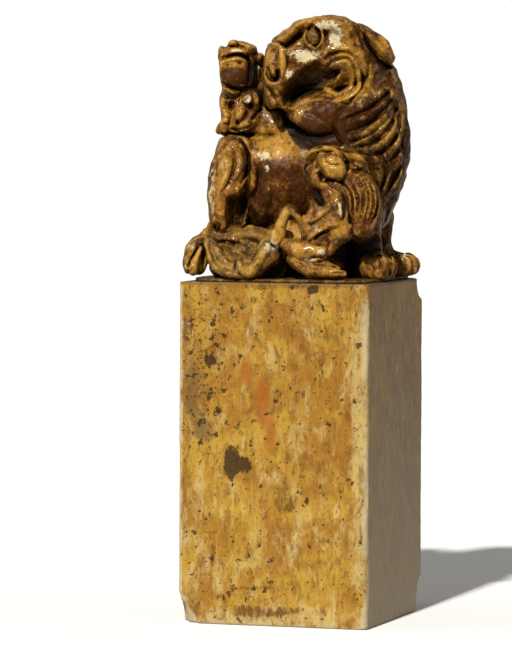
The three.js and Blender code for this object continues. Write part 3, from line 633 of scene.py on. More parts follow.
@dataclass(frozen=True)
class Region:
    """A region of the carving.

    Attributes:
        node: The CAD node that it stands for.
        slot: The record's material slot.
        forms: The solids that are joined into it.
        cuts: The solids that are cut out of it.
        pose: Its frame.
    """

    node: str
    slot: str
    forms: tuple[Form, ...]
    cuts: tuple[Form, ...] = ()
    pose: Pose = Pose()

    def field(self) -> Lump:
        """The region's box of distances."""
        parts = [form.field(self.pose) for form in self.forms]
        first = np.min([part.first for part in parts], axis=0)
        last = np.max([part.last for part in parts], axis=0)
        whole = parts[0].part(first, last)
        for form, part in zip(self.forms[1:], parts[1:]):
            whole.join(part, form.blend)
        for form in self.cuts:
            whole.cut(form.field(self.pose), form.blend)
        return whole


@dataclass(frozen=True)
class Figure:
    """A figure of the carving, with its regions and the relief that is drawn on it.

    Attributes:
        name: What it is.
        regions: Its regions.
        strokes: Ridges and grooves.
        hollows: Pockets.
        outline: The pixels round it, beyond which nothing of it shows.
        fillet: The fillet between its regions.
        mirror: The frame whose near side is repeated on its far side.
    """

    name: str
    regions: tuple[Region, ...]
    strokes: tuple[Stroke, ...] = ()
    hollows: tuple[Hollow, ...] = ()
    outline: tuple[Pixel, ...] = ()
    fillet: float = 0.5
    mirror: Pose | None = None

    # The picture of depths: its cell in pixels, and its columns and rows.
    CELL = 2.5
    COLUMNS, ROWS = 122, 132
    # Relief fades out between these depths behind the first surface, and as the surface turns away.
    BEHIND = (3.0, 6.0)
    FACING = (0.15, 0.6)
    # The fillets where the outline trims the figure and where a hollow is cut.
    TRIM = 1.2
    BRIM = 0.35

    @classmethod
    def front(cls, whole: Lump, px: Array, py: Array, depth: Array) -> Array:
        """The depth of the first surface along the line of sight at each lattice point."""
        wide, tall, nothing = cls.COLUMNS, cls.ROWS, 1e4
        i = np.clip(((px - Drawing.LEFT) / cls.CELL).astype(int), 0, wide - 2)
        j = np.clip(((py - Drawing.TOP) / cls.CELL).astype(int), 0, tall - 2)
        nearest = np.full((wide, tall), nothing, np.float32)
        solid = whole.values < 0
        np.minimum.at(nearest, (i[solid], j[solid]), depth[solid])
        padded = np.pad(nearest, 1, constant_values=nothing)
        smooth = np.min([padded[a : a + wide, b : b + tall] for a in range(3) for b in range(3)], axis=0)
        return smooth[i, j]

    def trimmed(self, whole: Lump, drawn: Drawing, px: Array, py: Array) -> Array:
        """The figure's distances with what lies beyond its outline taken off."""
        beyond = -drawn.look_up(drawn.inside(self.outline), px, py)
        return -fillet_join(-whole.values, -beyond, self.TRIM)

    def mirrored(self, whole: Lump) -> Array:
        """The distances with the near side of the mirror's frame repeated on its far side."""
        x, y, z = np.broadcast_arrays(*whole.axes())
        points = self.mirror.within(np.stack([x, y, z], axis=-1).reshape(-1, 3))
        far = points[:, 1] > 0
        points[:, 1] *= -1
        flat = whole.values.reshape(-1).copy()
        flat[far] = whole.at(self.mirror.place(points[far]))
        return flat.reshape(whole.values.shape)

    def field(self, drawn: Drawing) -> tuple[Lump, list[Lump]]:
        """The figure's box of distances, and its regions' own boxes."""
        parts = [region.field() for region in self.regions]
        first = np.min([part.first for part in parts], axis=0)
        last = np.max([part.last for part in parts], axis=0)
        whole = parts[0].part(first, last)
        for part in parts[1:]:
            whole.join(part, self.fillet)
        if not (self.strokes or self.hollows or self.outline):
            return whole, parts
        px, py, depth = (values.astype(np.float32) for values in PHOTO.project(*whole.axes()))
        px, py = px + 0 * depth, py + 0 * depth
        if self.outline:
            whole.values = self.trimmed(whole, drawn, px, py)
        behind = depth - self.front(whole, px, py, depth)
        slopes = np.gradient(whole.values, STEP)
        facing = sum(slope * np.float32(axis) for slope, axis in zip(slopes, PHOTO.axes()[2]))
        for hollow in self.hollows:
            inside = drawn.inside(hollow.outline)
            sunk = hollow.depth * np.clip(inside / hollow.slope, 0, 1) ** 0.7
            tool = np.maximum(-drawn.look_up(inside, px, py), behind - drawn.look_up(sunk, px, py))
            whole.values = fillet_cut(whole.values, tool, self.BRIM)
        drawn.relief[:] = 0
        for stroke in self.strokes:
            drawn.stroke(stroke)
        relief = drawn.look_up(drawn.relief, px, py) * (1 - ramp(behind, *self.BEHIND))
        whole.values -= relief * ramp(facing, *self.FACING)
        if self.mirror:
            whole.values = self.mirrored(whole)
            if self.outline:
                whole.values = self.trimmed(whole, drawn, px, py)
        return whole, parts


@dataclass(frozen=True)
class Patch:
    """A mark painted where the photograph shows it: a stain or a colour of the stone, painted shade, or a
    painted highlight.

    Attributes:
        paint: The attribute that carries it.
        x: The pixel column of its middle.
        y: The pixel row of its middle.
        wide: Its half width in pixels.
        tall: Its half height in pixels.
        strength: How strong it is.
    """

    paint: str
    x: float
    y: float
    wide: float
    tall: float
    strength: float = 1.0

    def cover(self, px: Array, py: Array) -> Array:
        """How much of it lies on each pixel: a bell of the distance over its half sizes."""
        away = ((px - self.x) / self.wide) ** 2 + ((py - self.y) / self.tall) ** 2
        return self.strength * np.exp(-1.2 * away**1.5)


@dataclass(frozen=True)
class Area:
    """A colour painted inside an outline of the photograph: a colour of the stone, a coarse texture, or
    painted shade.

    Attributes:
        paint: The attribute that carries it.
        strength: How strong it is.
        soft: How far its edge fades, in millimetres.
        outline: The pixels round it.
    """

    paint: str
    strength: float
    soft: float
    outline: tuple[Pixel, ...]


UPRIGHT = (0.0, 1.0, 0.0)
SIDES = (("near", -1), ("far", 1))
# The pixels round the lion's open mouth.
MOUTH = (
    (279, 94), (287, 83), (297, 73.5), (308, 65.5), (318, 62.5), (325, 65), (333, 68), (342, 67), (340, 74),
    (337, 80), (330, 85), (323, 90), (315, 95), (306, 98.5), (298, 102.5), (291, 107.5), (283, 107),
)


@dataclass(frozen=True)
class LionHead:
    """The large lion's head: its own X runs from the nose at -X to the neck, and it is turned back."""

    pose: Pose = Pose((7.2, 0.5, 36.5), 30, -25)
    skull_width: float = 7.3
    skull_height: float = 6.7
    muzzle_width: float = 4.8
    muzzle_height: float = 4.3
    lip: float = -0.6
    gape: float = 2.8
    jaw_width: float = 5.6
    jaw_height: float = 4.0
    ear_length: float = 9.4

    def skull(self) -> Region:
        """The skull, the square muzzle, the brows and the nose."""
        wide, tall, nose = self.skull_width, self.skull_height, self.muzzle_width
        middle = self.lip + self.muzzle_height
        skull = Limb(
            ((4.8, 0, 0.2, wide * 0.74, tall * 0.8), (0.5, 0, 0.8, wide, tall),
             (-4.6, 0, middle - 1.3, wide * 0.93, tall * 0.9),
             (-7.2, 0, middle - 0.1, nose * 1.16, self.muzzle_height * 1.04),
             (-9.6, 0, middle - 0.4, nose * 1.02, self.muzzle_height),
             (-11.2, 0, middle - 1.0, nose * 0.94, self.muzzle_height * 0.94),
             (-12.9, 0, middle - 2.0, nose * 0.86, self.muzzle_height * 0.84)),
            square=2.6,
        )
        brows = (
            Limb(
                ((-9.2, side * 1.5, middle + 3.1, 1.3, 1.2), (-7.0, side * 2.6, middle + 4.2, 1.5, 1.4),
                 (-4.9, side * 4.4, middle + 4.6, 1.6, 1.5), (-2.3, side * 6.0, middle + 3.2, 1.5, 1.3),
                 (0.4, side * 6.8, middle + 0.3, 1.0, 0.9)),
                blend=1.0,
            )
            for side in (-1, 1)
        )
        lip = Limb(
            ((-11.4, 0, middle + 0.6, 1.6, nose * 0.74), (-12.9, 0, self.lip + 1.2, 1.7, nose * 0.84),
             (-14.0, 0, self.lip - 1.6, 1.6, nose * 0.78)),
            up=UPRIGHT, square=2.8, blend=1.0,
        )
        nose_ball = Egg((-11.0, 0, middle + 1.9), (1.8, 2.7, 1.7))
        palate = Limb(((-2.6, 0, self.lip - 1.6, 3.4, 2.9), (-7.4, 0, self.lip - 1.7, 3.3, 2.9),
                       (-12.0, 0, self.lip - 1.9, 2.6, 2.2)))
        return Region("lion_head", "stone_lion", (skull, palate, lip, *brows, nose_ball), pose=self.pose)

    def jaw(self) -> Region:
        """The lower jaw, which curves under the open mouth."""
        middle = self.lip - self.gape - self.jaw_height
        wide, tall = self.jaw_width, self.jaw_height
        jaw = Limb(
            ((0.6, 0, middle + 0.2, wide * 1.24, tall * 1.28),
             (-4.4, 0, middle - 0.2, wide * 1.16, tall * 1.14),
             (-8.6, 0, middle + 0.1, wide * 0.98, tall * 1.02),
             (-11.6, 0, middle + 1.6, wide * 0.7, tall * 0.72)),
            square=2.4,
        )
        return Region("lion_lower_jaw", "stone_lion", (jaw,), pose=self.pose)

    def eyes(self) -> tuple[Region, ...]:
        """The two eyeballs."""
        level = self.lip + self.muzzle_height + 1.9
        made = []
        for name, side in SIDES:
            ball = Egg((-5.0, side * 5.6, level), (1.65, 1.5, 1.6))
            made.append(Region(f"lion_eye_{name}", "stone_eye", (ball,), pose=self.pose))
        return tuple(made)

    def ears(self) -> tuple[Region, ...]:
        """The two ears, laid back along the neck."""
        length = self.ear_length
        made = []
        for name, side in SIDES:
            ear = Limb(
                ((3.2, side * 5.0, 5, 1.4, 1.6), (4.5, side * 6.5, 5 - 0.3 * length, 2.5, 1.4),
                 (5.3, side * 6.9, 5 - 0.66 * length, 2.2, 1.1),
                 (5.4, side * 6.5, 5 - 0.9 * length, 1.1, 0.7)),
                up=UPRIGHT,
            )
            made.append(Region(f"lion_ear_{name}", "stone_lion", (ear,), pose=self.pose))
        return tuple(made)

    def strokes(self) -> tuple[Stroke, ...]:
        """The lids, nostril, lips, folds and creases of the near side."""
        sharp = Profile.SHARP
        return (
            # The brow's thick roll, and the black valley under it.
            Stroke(0.9, 5.5, ((270, 41), (280, 38.5), (290, 33), (298, 26), (306, 20), (315, 17))),
            Stroke(-1.7, 4.4, ((281, 45), (287, 46), (294, 40.5), (300, 35), (305, 28)), sharp, 0.7),
            Stroke(-0.5, 2.4, ((288, 49.5), (298, 47.5), (306, 49)), sharp),
            # The eye: pointed lids round the ball.
            Stroke(0.7, 2.4, ((311.5, 21.5), (305.5, 28), (304, 36), (307, 44), (315, 49)), taper=0.3),
            Stroke(0.6, 2.4, ((311.5, 21.5), (318.5, 27), (323, 35), (321.5, 43), (315, 49)), taper=0.3),
            Stroke(-0.4, 2.0, ((312, 26), (308, 31), (307.3, 38), (310, 44), (315, 46)), sharp, 0.3),
            Stroke(-0.4, 2.0, ((312, 26), (317, 29.5), (320, 36), (319, 42), (315, 46)), sharp, 0.3),
            Stroke(0.7, 7.0, ((313.5, 31), (314.5, 42)), taper=0.2),
            Stroke(-0.5, 2.6, ((323.5, 31), (327, 39), (326, 47)), sharp),
            # The nose: its rolled edge, wing and nostril.
            Stroke(0.7, 3.4, ((266, 46), (272, 43.5), (279, 45), (285, 49.5)), taper=0.3),
            Stroke(-0.9, 2.2, ((267, 41.5), (275, 41.5), (282, 44)), sharp),
            Stroke(-0.7, 2.2, ((270, 52), (275, 50.5), (278, 54), (276.5, 61)), sharp),
            Stroke(0.9, 4.4, ((280, 51), (282.5, 58), (283, 67), (281.5, 76)), taper=0.35),
            Stroke(-0.5, 2.0, ((286.5, 52), (288, 60), (287.5, 70)), sharp),
            Stroke(
                -2.0, 3.2, ((267.5, 69), (269, 75.5), (273.5, 79.5), (278, 77.5), (278.2, 71)), taper=0.3
            ),
            Stroke(0.9, 3.0, ((272.5, 70), (274, 74.5)), taper=0.1),
            # The lips.
            Stroke(0.55, 2.8, ((263.5, 68), (265.5, 78), (270, 86), (277, 94.5)), taper=0.3),
            Stroke(0.5, 3.6, ((284, 82), (292, 74), (303, 65), (317, 59), (326, 63.5)), taper=0.3),
            Stroke(-0.8, 2.2, ((262, 90), (268.5, 88), (272.5, 93.5), (278, 101.5)), sharp),
            Stroke(0.7, 6.5, ((267, 95), (271, 101), (275, 106))),
            # The folds behind the mouth: two tubes between dark lines.
            Stroke(
                -0.5, 2.1, ((329.5, 65.5), (336, 60), (346.5, 58), (352, 63), (355.5, 72.5), (356, 83)),
                sharp, 0.3,
            ),
            Stroke(-0.5, 2.1, ((356, 83), (352, 91.5), (343.5, 94.5), (334, 97), (330, 102)), sharp, 0.3),
            Stroke(-0.5, 2.1, ((325, 60), (331, 54.5), (343.5, 52), (354, 57), (359.5, 66)), sharp, 0.3),
            Stroke(-0.5, 2.1, ((359.5, 66), (363, 77), (363, 88.5), (357, 96.5), (350, 101)), sharp, 0.3),
            Stroke(
                0.6, 3.2,
                ((328, 61.5), (333.5, 57), (345, 55), (353.5, 60), (358, 69), (359.5, 80), (357.5, 91),
                 (346, 98.5), (337, 102)),
            ),
            Stroke(
                0.5, 3.4,
                ((330, 50.5), (342, 48), (354, 52), (363.5, 62), (367.5, 76), (367, 88), (359, 100)),
            ),
            Stroke(0.5, 3.0, ((337, 63), (346, 61.5), (351, 67), (352.5, 77), (350, 87), (342, 91))),
            Stroke(-1.2, 8.0, ((339, 72), (345, 80), (341, 88)), taper=0.3),
            # The jaw: the lower lip, the knob at its corner and the cheek's edge.
            Stroke(
                0.6, 3.2, ((284, 109), (292, 109), (300, 104), (310, 100.5), (323, 99.5), (332, 101.5)),
                taper=0.3,
            ),
            Stroke(-0.6, 2.6, ((336, 104), (341, 113), (345, 125), (353, 137)), sharp),
            Stroke(-0.5, 2.6, ((338, 103), (350, 105), (362, 101), (374, 91)), sharp),
            Stroke(0.9, 4.2, ((326, 91), (331, 92)), taper=0.1),
            Stroke(-0.35, 4.0, ((303, 112), (315, 116), (328, 124)), taper=0.8),
            # The ear: its ridge, its hollow and its rim.
            Stroke(0.9, 3.8, ((367, 33), (375.5, 42), (384, 51.5), (391.5, 59)), taper=0.5),
            Stroke(-1.8, 4.6, ((378, 35.5), (384, 41), (388.5, 48)), taper=0.5),
            Stroke(0.6, 2.4, ((373, 28.5), (382, 33.5), (388, 40), (393.5, 49), (396, 57))),
            Stroke(-1.0, 2.6, ((363, 33), (367, 43), (374, 53), (383, 62)), sharp),
            Stroke(-0.6, 2.4, ((352, 22), (357, 30), (361, 40), (366, 52)), sharp),
            # The crown's shallow flutes.
            Stroke(-0.4, 3.0, ((318, 18), (328, 24), (338, 36), (345, 48)), sharp),
            Stroke(-0.4, 3.0, ((333, 14), (343, 22), (352, 36), (358, 50)), sharp),
        )

    def hollows(self) -> tuple[Hollow, ...]:
        """The open mouth, and its deeper lower part."""
        throat = ((284, 98), (291, 91), (300, 87), (312, 84), (324, 82), (330, 83), (323, 88.5), (315, 93),
                  (306, 97), (298, 101), (292, 106), (285, 105.5))
        return Hollow(2.4, MOUTH, 1.3), Hollow(1.9, throat, 0.9)

    def outline(self) -> tuple[Pixel, ...]:
        """The head's silhouette, with the parts that others hide left wide."""
        return (
            (262.8, 101), (262, 75), (263.5, 60), (264.5, 50), (268, 41), (273, 37.5), (280, 34), (289, 27),
            (299, 19), (305, 16.6), (314, 14.2), (323, 12.2), (336, 12.6), (347, 16), (357, 22.5),
            (364, 23.4), (373, 28), (381.5, 32.8), (388, 39), (393.6, 48), (397.6, 57.5), (396, 64),
            (398, 85), (399, 110), (385, 150), (346, 147), (330, 142.6), (315, 138.6), (306, 133.6),
            (297, 127.6), (288.5, 121.5), (284.5, 114), (279, 110), (269, 111), (262.6, 105),
        )

    def figure(self) -> Figure:
        """The head."""
        regions = (*self.eyes(), *self.ears(), self.skull(), self.jaw())
        return Figure("head", regions, self.strokes(), self.hollows(), self.outline(), 0.35, self.pose)


@dataclass(frozen=True)
class LionMane:
    """The mane: twisted locks that hang from the crest to the chest."""

    centre_x: float = 8.7
    centre_y: float = 0.7
    top: float = 37.0
    foot: float = 11.0
    half_length: float = 8.2
    half_width: float = 8.3
    locks: int = 11
    lock_depth: float = 0.05
    swirl: float = 0.16

    def region(self) -> Region:
        """The mass of the mane, with a knob at its crest."""
        rise = self.top - self.foot
        x, y, long, wide = self.centre_x, self.centre_y, self.half_length, self.half_width
        mass = Limb(
            ((x + 1.1, y + 1.2, self.foot, long * 0.56, wide * 0.76),
             (x + 0.7, y + 0.8, self.foot + 0.24 * rise, long * 0.9, wide * 0.96),
             (x - 0.2, y + 0.1, self.foot + 0.5 * rise, long * 1.1, wide * 1.04),
             (x + 1.3, y + 0.1, self.foot + 0.76 * rise, long * 0.86, wide * 0.98),
             (x + 0.6, y, self.top, long * 0.64, wide * 0.82)),
            up=UPRIGHT, locks=self.locks, depth=self.lock_depth, swirl=self.swirl,
        )
        return Region("lion_mane", "stone_mane", (mass,))

    def strokes(self) -> tuple[Stroke, ...]:
        """The locks that sweep down from the crest."""
        ridges = (
            (0.6, 4.0, ((391, 86), (382, 92), (370, 102.5), (353, 111.5), (340, 118.5))),
            (0.6, 4.6, ((391, 97), (379, 108), (366, 117), (350, 125))),
            (0.8, 5.4, ((392, 103), (386, 114), (377, 124.5), (365, 133), (350, 138.5))),
            (0.5, 3.4, ((392, 113), (386.5, 123), (377, 132), (364, 140.5), (352, 146))),
            (0.8, 4.6, ((397, 114), (395, 127), (388, 138.5), (378, 147), (366, 152))),
            (0.7, 5.4, ((399, 102), (402, 115), (402.5, 130), (399, 142), (392, 153), (382, 162))),
            (0.5, 4.2, ((406, 128), (405, 146), (399, 162), (390, 176))),
            (0.6, 4.2, ((404, 160), (401, 176), (394, 189), (385, 199))),
            (0.5, 3.6, ((375, 156), (380, 168), (380, 182), (377, 193))),
            (0.5, 3.6, ((389, 160), (390, 173), (386, 186), (380, 196))),
            (0.4, 2.4, ((387, 62), (393, 74), (399, 88))),
        )
        lines = (
            (-0.5, 2.4, ((389, 92), (377, 103), (364, 111), (348, 118))),
            (-0.7, 2.8, ((391, 100), (384.5, 111), (373, 121), (360, 128.5), (345, 133))),
            (-0.5, 2.4, ((392, 108), (388, 119), (378, 128.5), (366, 137), (352, 142.5))),
            (-0.7, 2.8, ((396, 107), (393, 122), (385, 134), (373, 143), (360, 148))),
            (-0.7, 2.8, ((399, 113), (399, 127), (395, 139), (386, 149), (374, 155))),
            (-0.6, 2.8, ((406, 116), (405, 134), (399, 149), (390, 161))),
            (-0.5, 2.4, ((401, 166), (396, 178), (388, 188))),
            (-0.5, 2.4, ((384, 158), (386, 170), (383, 184), (378, 195))),
        )
        tufts = ((0.4, 0), (-0.4, 1), (0.4, 2), (-0.3, 3))
        return (
            *(Stroke(height, width, points) for height, width, points in ridges),
            *(Stroke(height, width, points, Profile.SHARP, 0.4) for height, width, points in lines),
            *(
                Stroke(height, 2.4, ((384 + 4.5 * k, 203), (383 + 4 * k, 212), (381 + 4 * k, 222)))
                for height, k in tufts
            ),
            Stroke(0.9, 6.5, ((393, 90), (396, 98)), taper=0.1),
        )

    def figure(self) -> Figure:
        """The mane. It is cut back where the cheek and the jaw stand in front of it."""
        outline = ((330, 60), (392, 60), (397.6, 72.5), (402.5, 85), (408, 107), (409, 115), (411.5, 124),
                   (414.6, 141), (414, 152), (412.6, 171), (409, 187), (400.6, 199), (397, 207),
                   (392.6, 216), (392.6, 228), (392, 245), (330, 245), (280, 200), (280, 120))
        cheek = ((290, 40), (368, 40), (371, 76), (368, 90), (356, 102), (340, 114), (336, 126), (344, 146),
                 (290, 150))
        neck = ((366, 40), (396, 50), (394, 66), (390, 82), (380, 92), (368, 92))
        hollows = (Hollow(4.5, cheek, 1.6), Hollow(1.6, neck, 1.2))
        return Figure("mane", (self.region(),), self.strokes(), hollows, outline)


@dataclass(frozen=True)
class LionBody:
    """The standing body, with its haunches, legs and paws."""

    trunk_y: float = 1.5
    half_width: float = 8.0
    half_height: float = 9.0
    rear: Pixel = (-10.4, 15.8)
    front: Pixel = (10.6, 19.6)
    haunch_y: float = 7.2
    paw_wide: float = 2.9
    paw_tall: float = 2.1
    toes: int = 4

    @property
    def pose(self) -> Pose:
        """The body's frame."""
        return Pose((0, self.trunk_y, 0))

    def trunk(self) -> Region:
        """The barrel of the body."""
        (rear_x, rear_z), (front_x, front_z) = self.rear, self.front
        long, wide, tall = front_x - rear_x, self.half_width, self.half_height
        barrel = Limb(((rear_x, 0, rear_z, wide * 0.84, tall * 0.95),
                       (rear_x + 0.14 * long, 0, rear_z + 0.4, wide, tall),
                       (rear_x + 0.46 * long, 0, (rear_z + front_z) / 2 + 0.4, wide * 0.94, tall),
                       (rear_x + 0.78 * long, 0, front_z - 0.2, wide, tall),
                       (front_x, 0, front_z, wide * 0.95, tall * 0.95)))
        return Region("lion_body", "stone_lion", (barrel,), pose=self.pose)

    def web(self) -> Region:
        """The stone left standing between the legs."""
        tall, wide = 6.1, 0.64 * self.half_width
        web = Limb(((-8.9, 0.4, tall - 1, wide, tall), (0.1, 0, tall - 0.8, 1.1 * wide, tall),
                    (8.6, 0.6, tall - 1, wide, tall)))
        return Region("belly_web", "stone_lion", (web,), pose=self.pose)

    def paw(self, heel_x: float, y: float, length: float) -> tuple[Form, ...]:
        """A paw that points along +X, with a row of toes and claws across its front."""
        z = LEDGE_TOP + self.paw_tall * 0.9
        wide, tall = self.paw_wide, self.paw_tall
        forms: list[Form] = [
            Limb(((heel_x + 1.6, y, z, wide * 0.72, tall),
                  (heel_x + 0.45 * length, y, z, wide * 0.9, tall),
                  (heel_x + 0.68 * length, y, z - 0.2, wide, tall * 0.8)))
        ]
        toe = (1.9, wide / self.toes + 0.12, 1.93)
        for k in range(self.toes):
            across = ((2 * k + 1) / self.toes - 1) * wide
            tip = heel_x + length - 2.0 - 0.12 * across * across
            forms.append(Egg((tip, y + across, z - 0.25), toe, blend=0.25))
        return tuple(forms)

    def legs(self) -> tuple[Region, ...]:
        """The paws, haunches and forelegs, near and far."""
        made = []
        for name, side in SIDES:
            heel = 11.1 if side < 0 else 10.1
            foot_x, foot_y, shoulder = (12.2, -6.0, -4.4) if side < 0 else (10.0, 7.5, 5.4)
            front = self.paw(heel, foot_y, 17.4 - heel)
            hind = self.paw(-13.8, side * (self.haunch_y + 1), 7.4)
            made.append(Region(f"lion_forepaw_{name}", "stone_lion", front, pose=self.pose))
            made.append(Region(f"lion_hindpaw_{name}", "stone_lion", hind, pose=self.pose))
            made.append(self.haunch(name, side))
            leg = Limb(
                ((foot_x - 1.2, shoulder, 16.2, 3.4, 3.4),
                 (foot_x, (foot_y + shoulder) / 2 + 0.2 * foot_y, 10.6, 2.7, 2.7),
                 (foot_x + 0.2, foot_y, 5.6, 2.25, 2.25), (foot_x + 1, foot_y, 3, 2.3, 2.2)),
                up=UPRIGHT,
            )
            made.append(Region(f"lion_foreleg_{name}", "stone_lion", (leg,), pose=self.pose))
        return tuple(made)

    def haunch(self, name: str, side: int) -> Region:
        """A haunch: a long drop that narrows to the hock."""
        y = side * self.haunch_y
        drop = Limb(
            ((-10.2, y - side * 1.5, 21.4, 3.2, 3.0), (-10.8, y, 16.0, 3.5, 4.0),
             (-11.0, y + side * 0.4, 9.7, 3.1, 3.6), (-11.4, y + side * 0.6, 5.9, 2.5, 2.7),
             (-11.7, y + side * 0.8, 3.2, 2.2, 2.4)),
            up=UPRIGHT,
        )
        return Region(f"lion_haunch_{name}", "stone_lion", (drop,), pose=self.pose)

    def strokes(self) -> tuple[Stroke, ...]:
        """The ridges of the haunch, the ribs of the flank and its chiselled underside."""
        sharp = Profile.SHARP
        ribs = ((-0.15, 3.2, 259, 1), (0.15, 4.4, 266, 3), (-0.18, 3.6, 274, -1), (0.15, 5.0, 287, 1),
                (-0.18, 3.4, 295, -2))
        flank = (
            Stroke(tall, wide, ((x, 168), (x + lean, 182), (x + lean - 1, 198), (x + lean - 3, 212)), sharp)
            for tall, wide, x, lean in ribs
        )
        toes = ((-0.8, 1.8, 380), (0.5, 2.6, 384.5), (-0.8, 1.8, 389), (0.5, 2.4, 393), (-0.8, 1.8, 397.5),
                (-0.5, 2.4, 406))
        return (
            Stroke(
                -1.0, 2.6, ((229, 136), (240, 140), (247, 151), (249, 164), (246, 175), (240, 186)), sharp
            ),
            Stroke(0.7, 4.6, ((236, 148), (240, 158), (240, 168), (235, 178)), taper=0.5),
            Stroke(-0.6, 2.0, ((231, 143), (234, 155), (234, 168), (229, 182), (222, 193)), sharp),
            Stroke(0.6, 5.0, ((222, 145), (226, 160), (226, 176), (220, 191), (213, 206)), taper=0.9),
            Stroke(-0.35, 1.8, ((216, 152), (217, 168), (215, 184), (211, 200)), sharp),
            Stroke(0.6, 3.2, ((245, 179), (241, 186), (236, 193)), taper=0.4),
            Stroke(0.9, 4.2, ((252, 160), (254, 172), (253, 184), (250, 195))),
            Stroke(-0.5, 2.0, ((258, 158), (260, 172), (258, 186), (255, 199)), sharp),
            Stroke(0.8, 6.0, ((256, 208), (261, 215), (260, 222)), taper=0.3),
            Stroke(-0.35, 1.5, ((212, 186), (211, 200), (210, 214)), sharp),
            Stroke(-0.35, 1.5, ((217, 184), (216, 198), (214, 214)), sharp),
            Stroke(0.3, 5.0, ((262, 118), (282, 116), (302, 122), (322, 132))),
            Stroke(-0.25, 3.0, ((262, 140), (280, 132), (300, 136), (316, 146)), sharp),
            *(
                Stroke(height, width, ((x - 5, 252), (x, 258), (x + 1, 266), (x, 275)), sharp, 0.3)
                for height, width, x in toes
            ),
            *(
                Stroke(-0.6, 1.5, ((x, 225), (x - 1, 231), (x - 2, 237)), sharp, 0.3)
                for x in (211, 215.5, 220)
            ),
            *flank,
        )

    def figure(self) -> Figure:
        """The body and its legs."""
        pit = ((227, 196), (237, 194), (246, 191), (250, 200), (249, 216), (247, 230), (234, 231),
               (226, 230), (224, 214))
        void = ((346, 240), (356, 240), (366, 238), (376, 235), (384, 243), (383, 250), (374, 256),
                (364, 261), (358, 268), (354, 279), (344, 279), (346, 262))
        regions = (*self.legs(), self.trunk(), self.web())
        return Figure("body", regions, self.strokes(), (Hollow(3.6, pit, 1.2), Hollow(4.5, void, 1.0)))


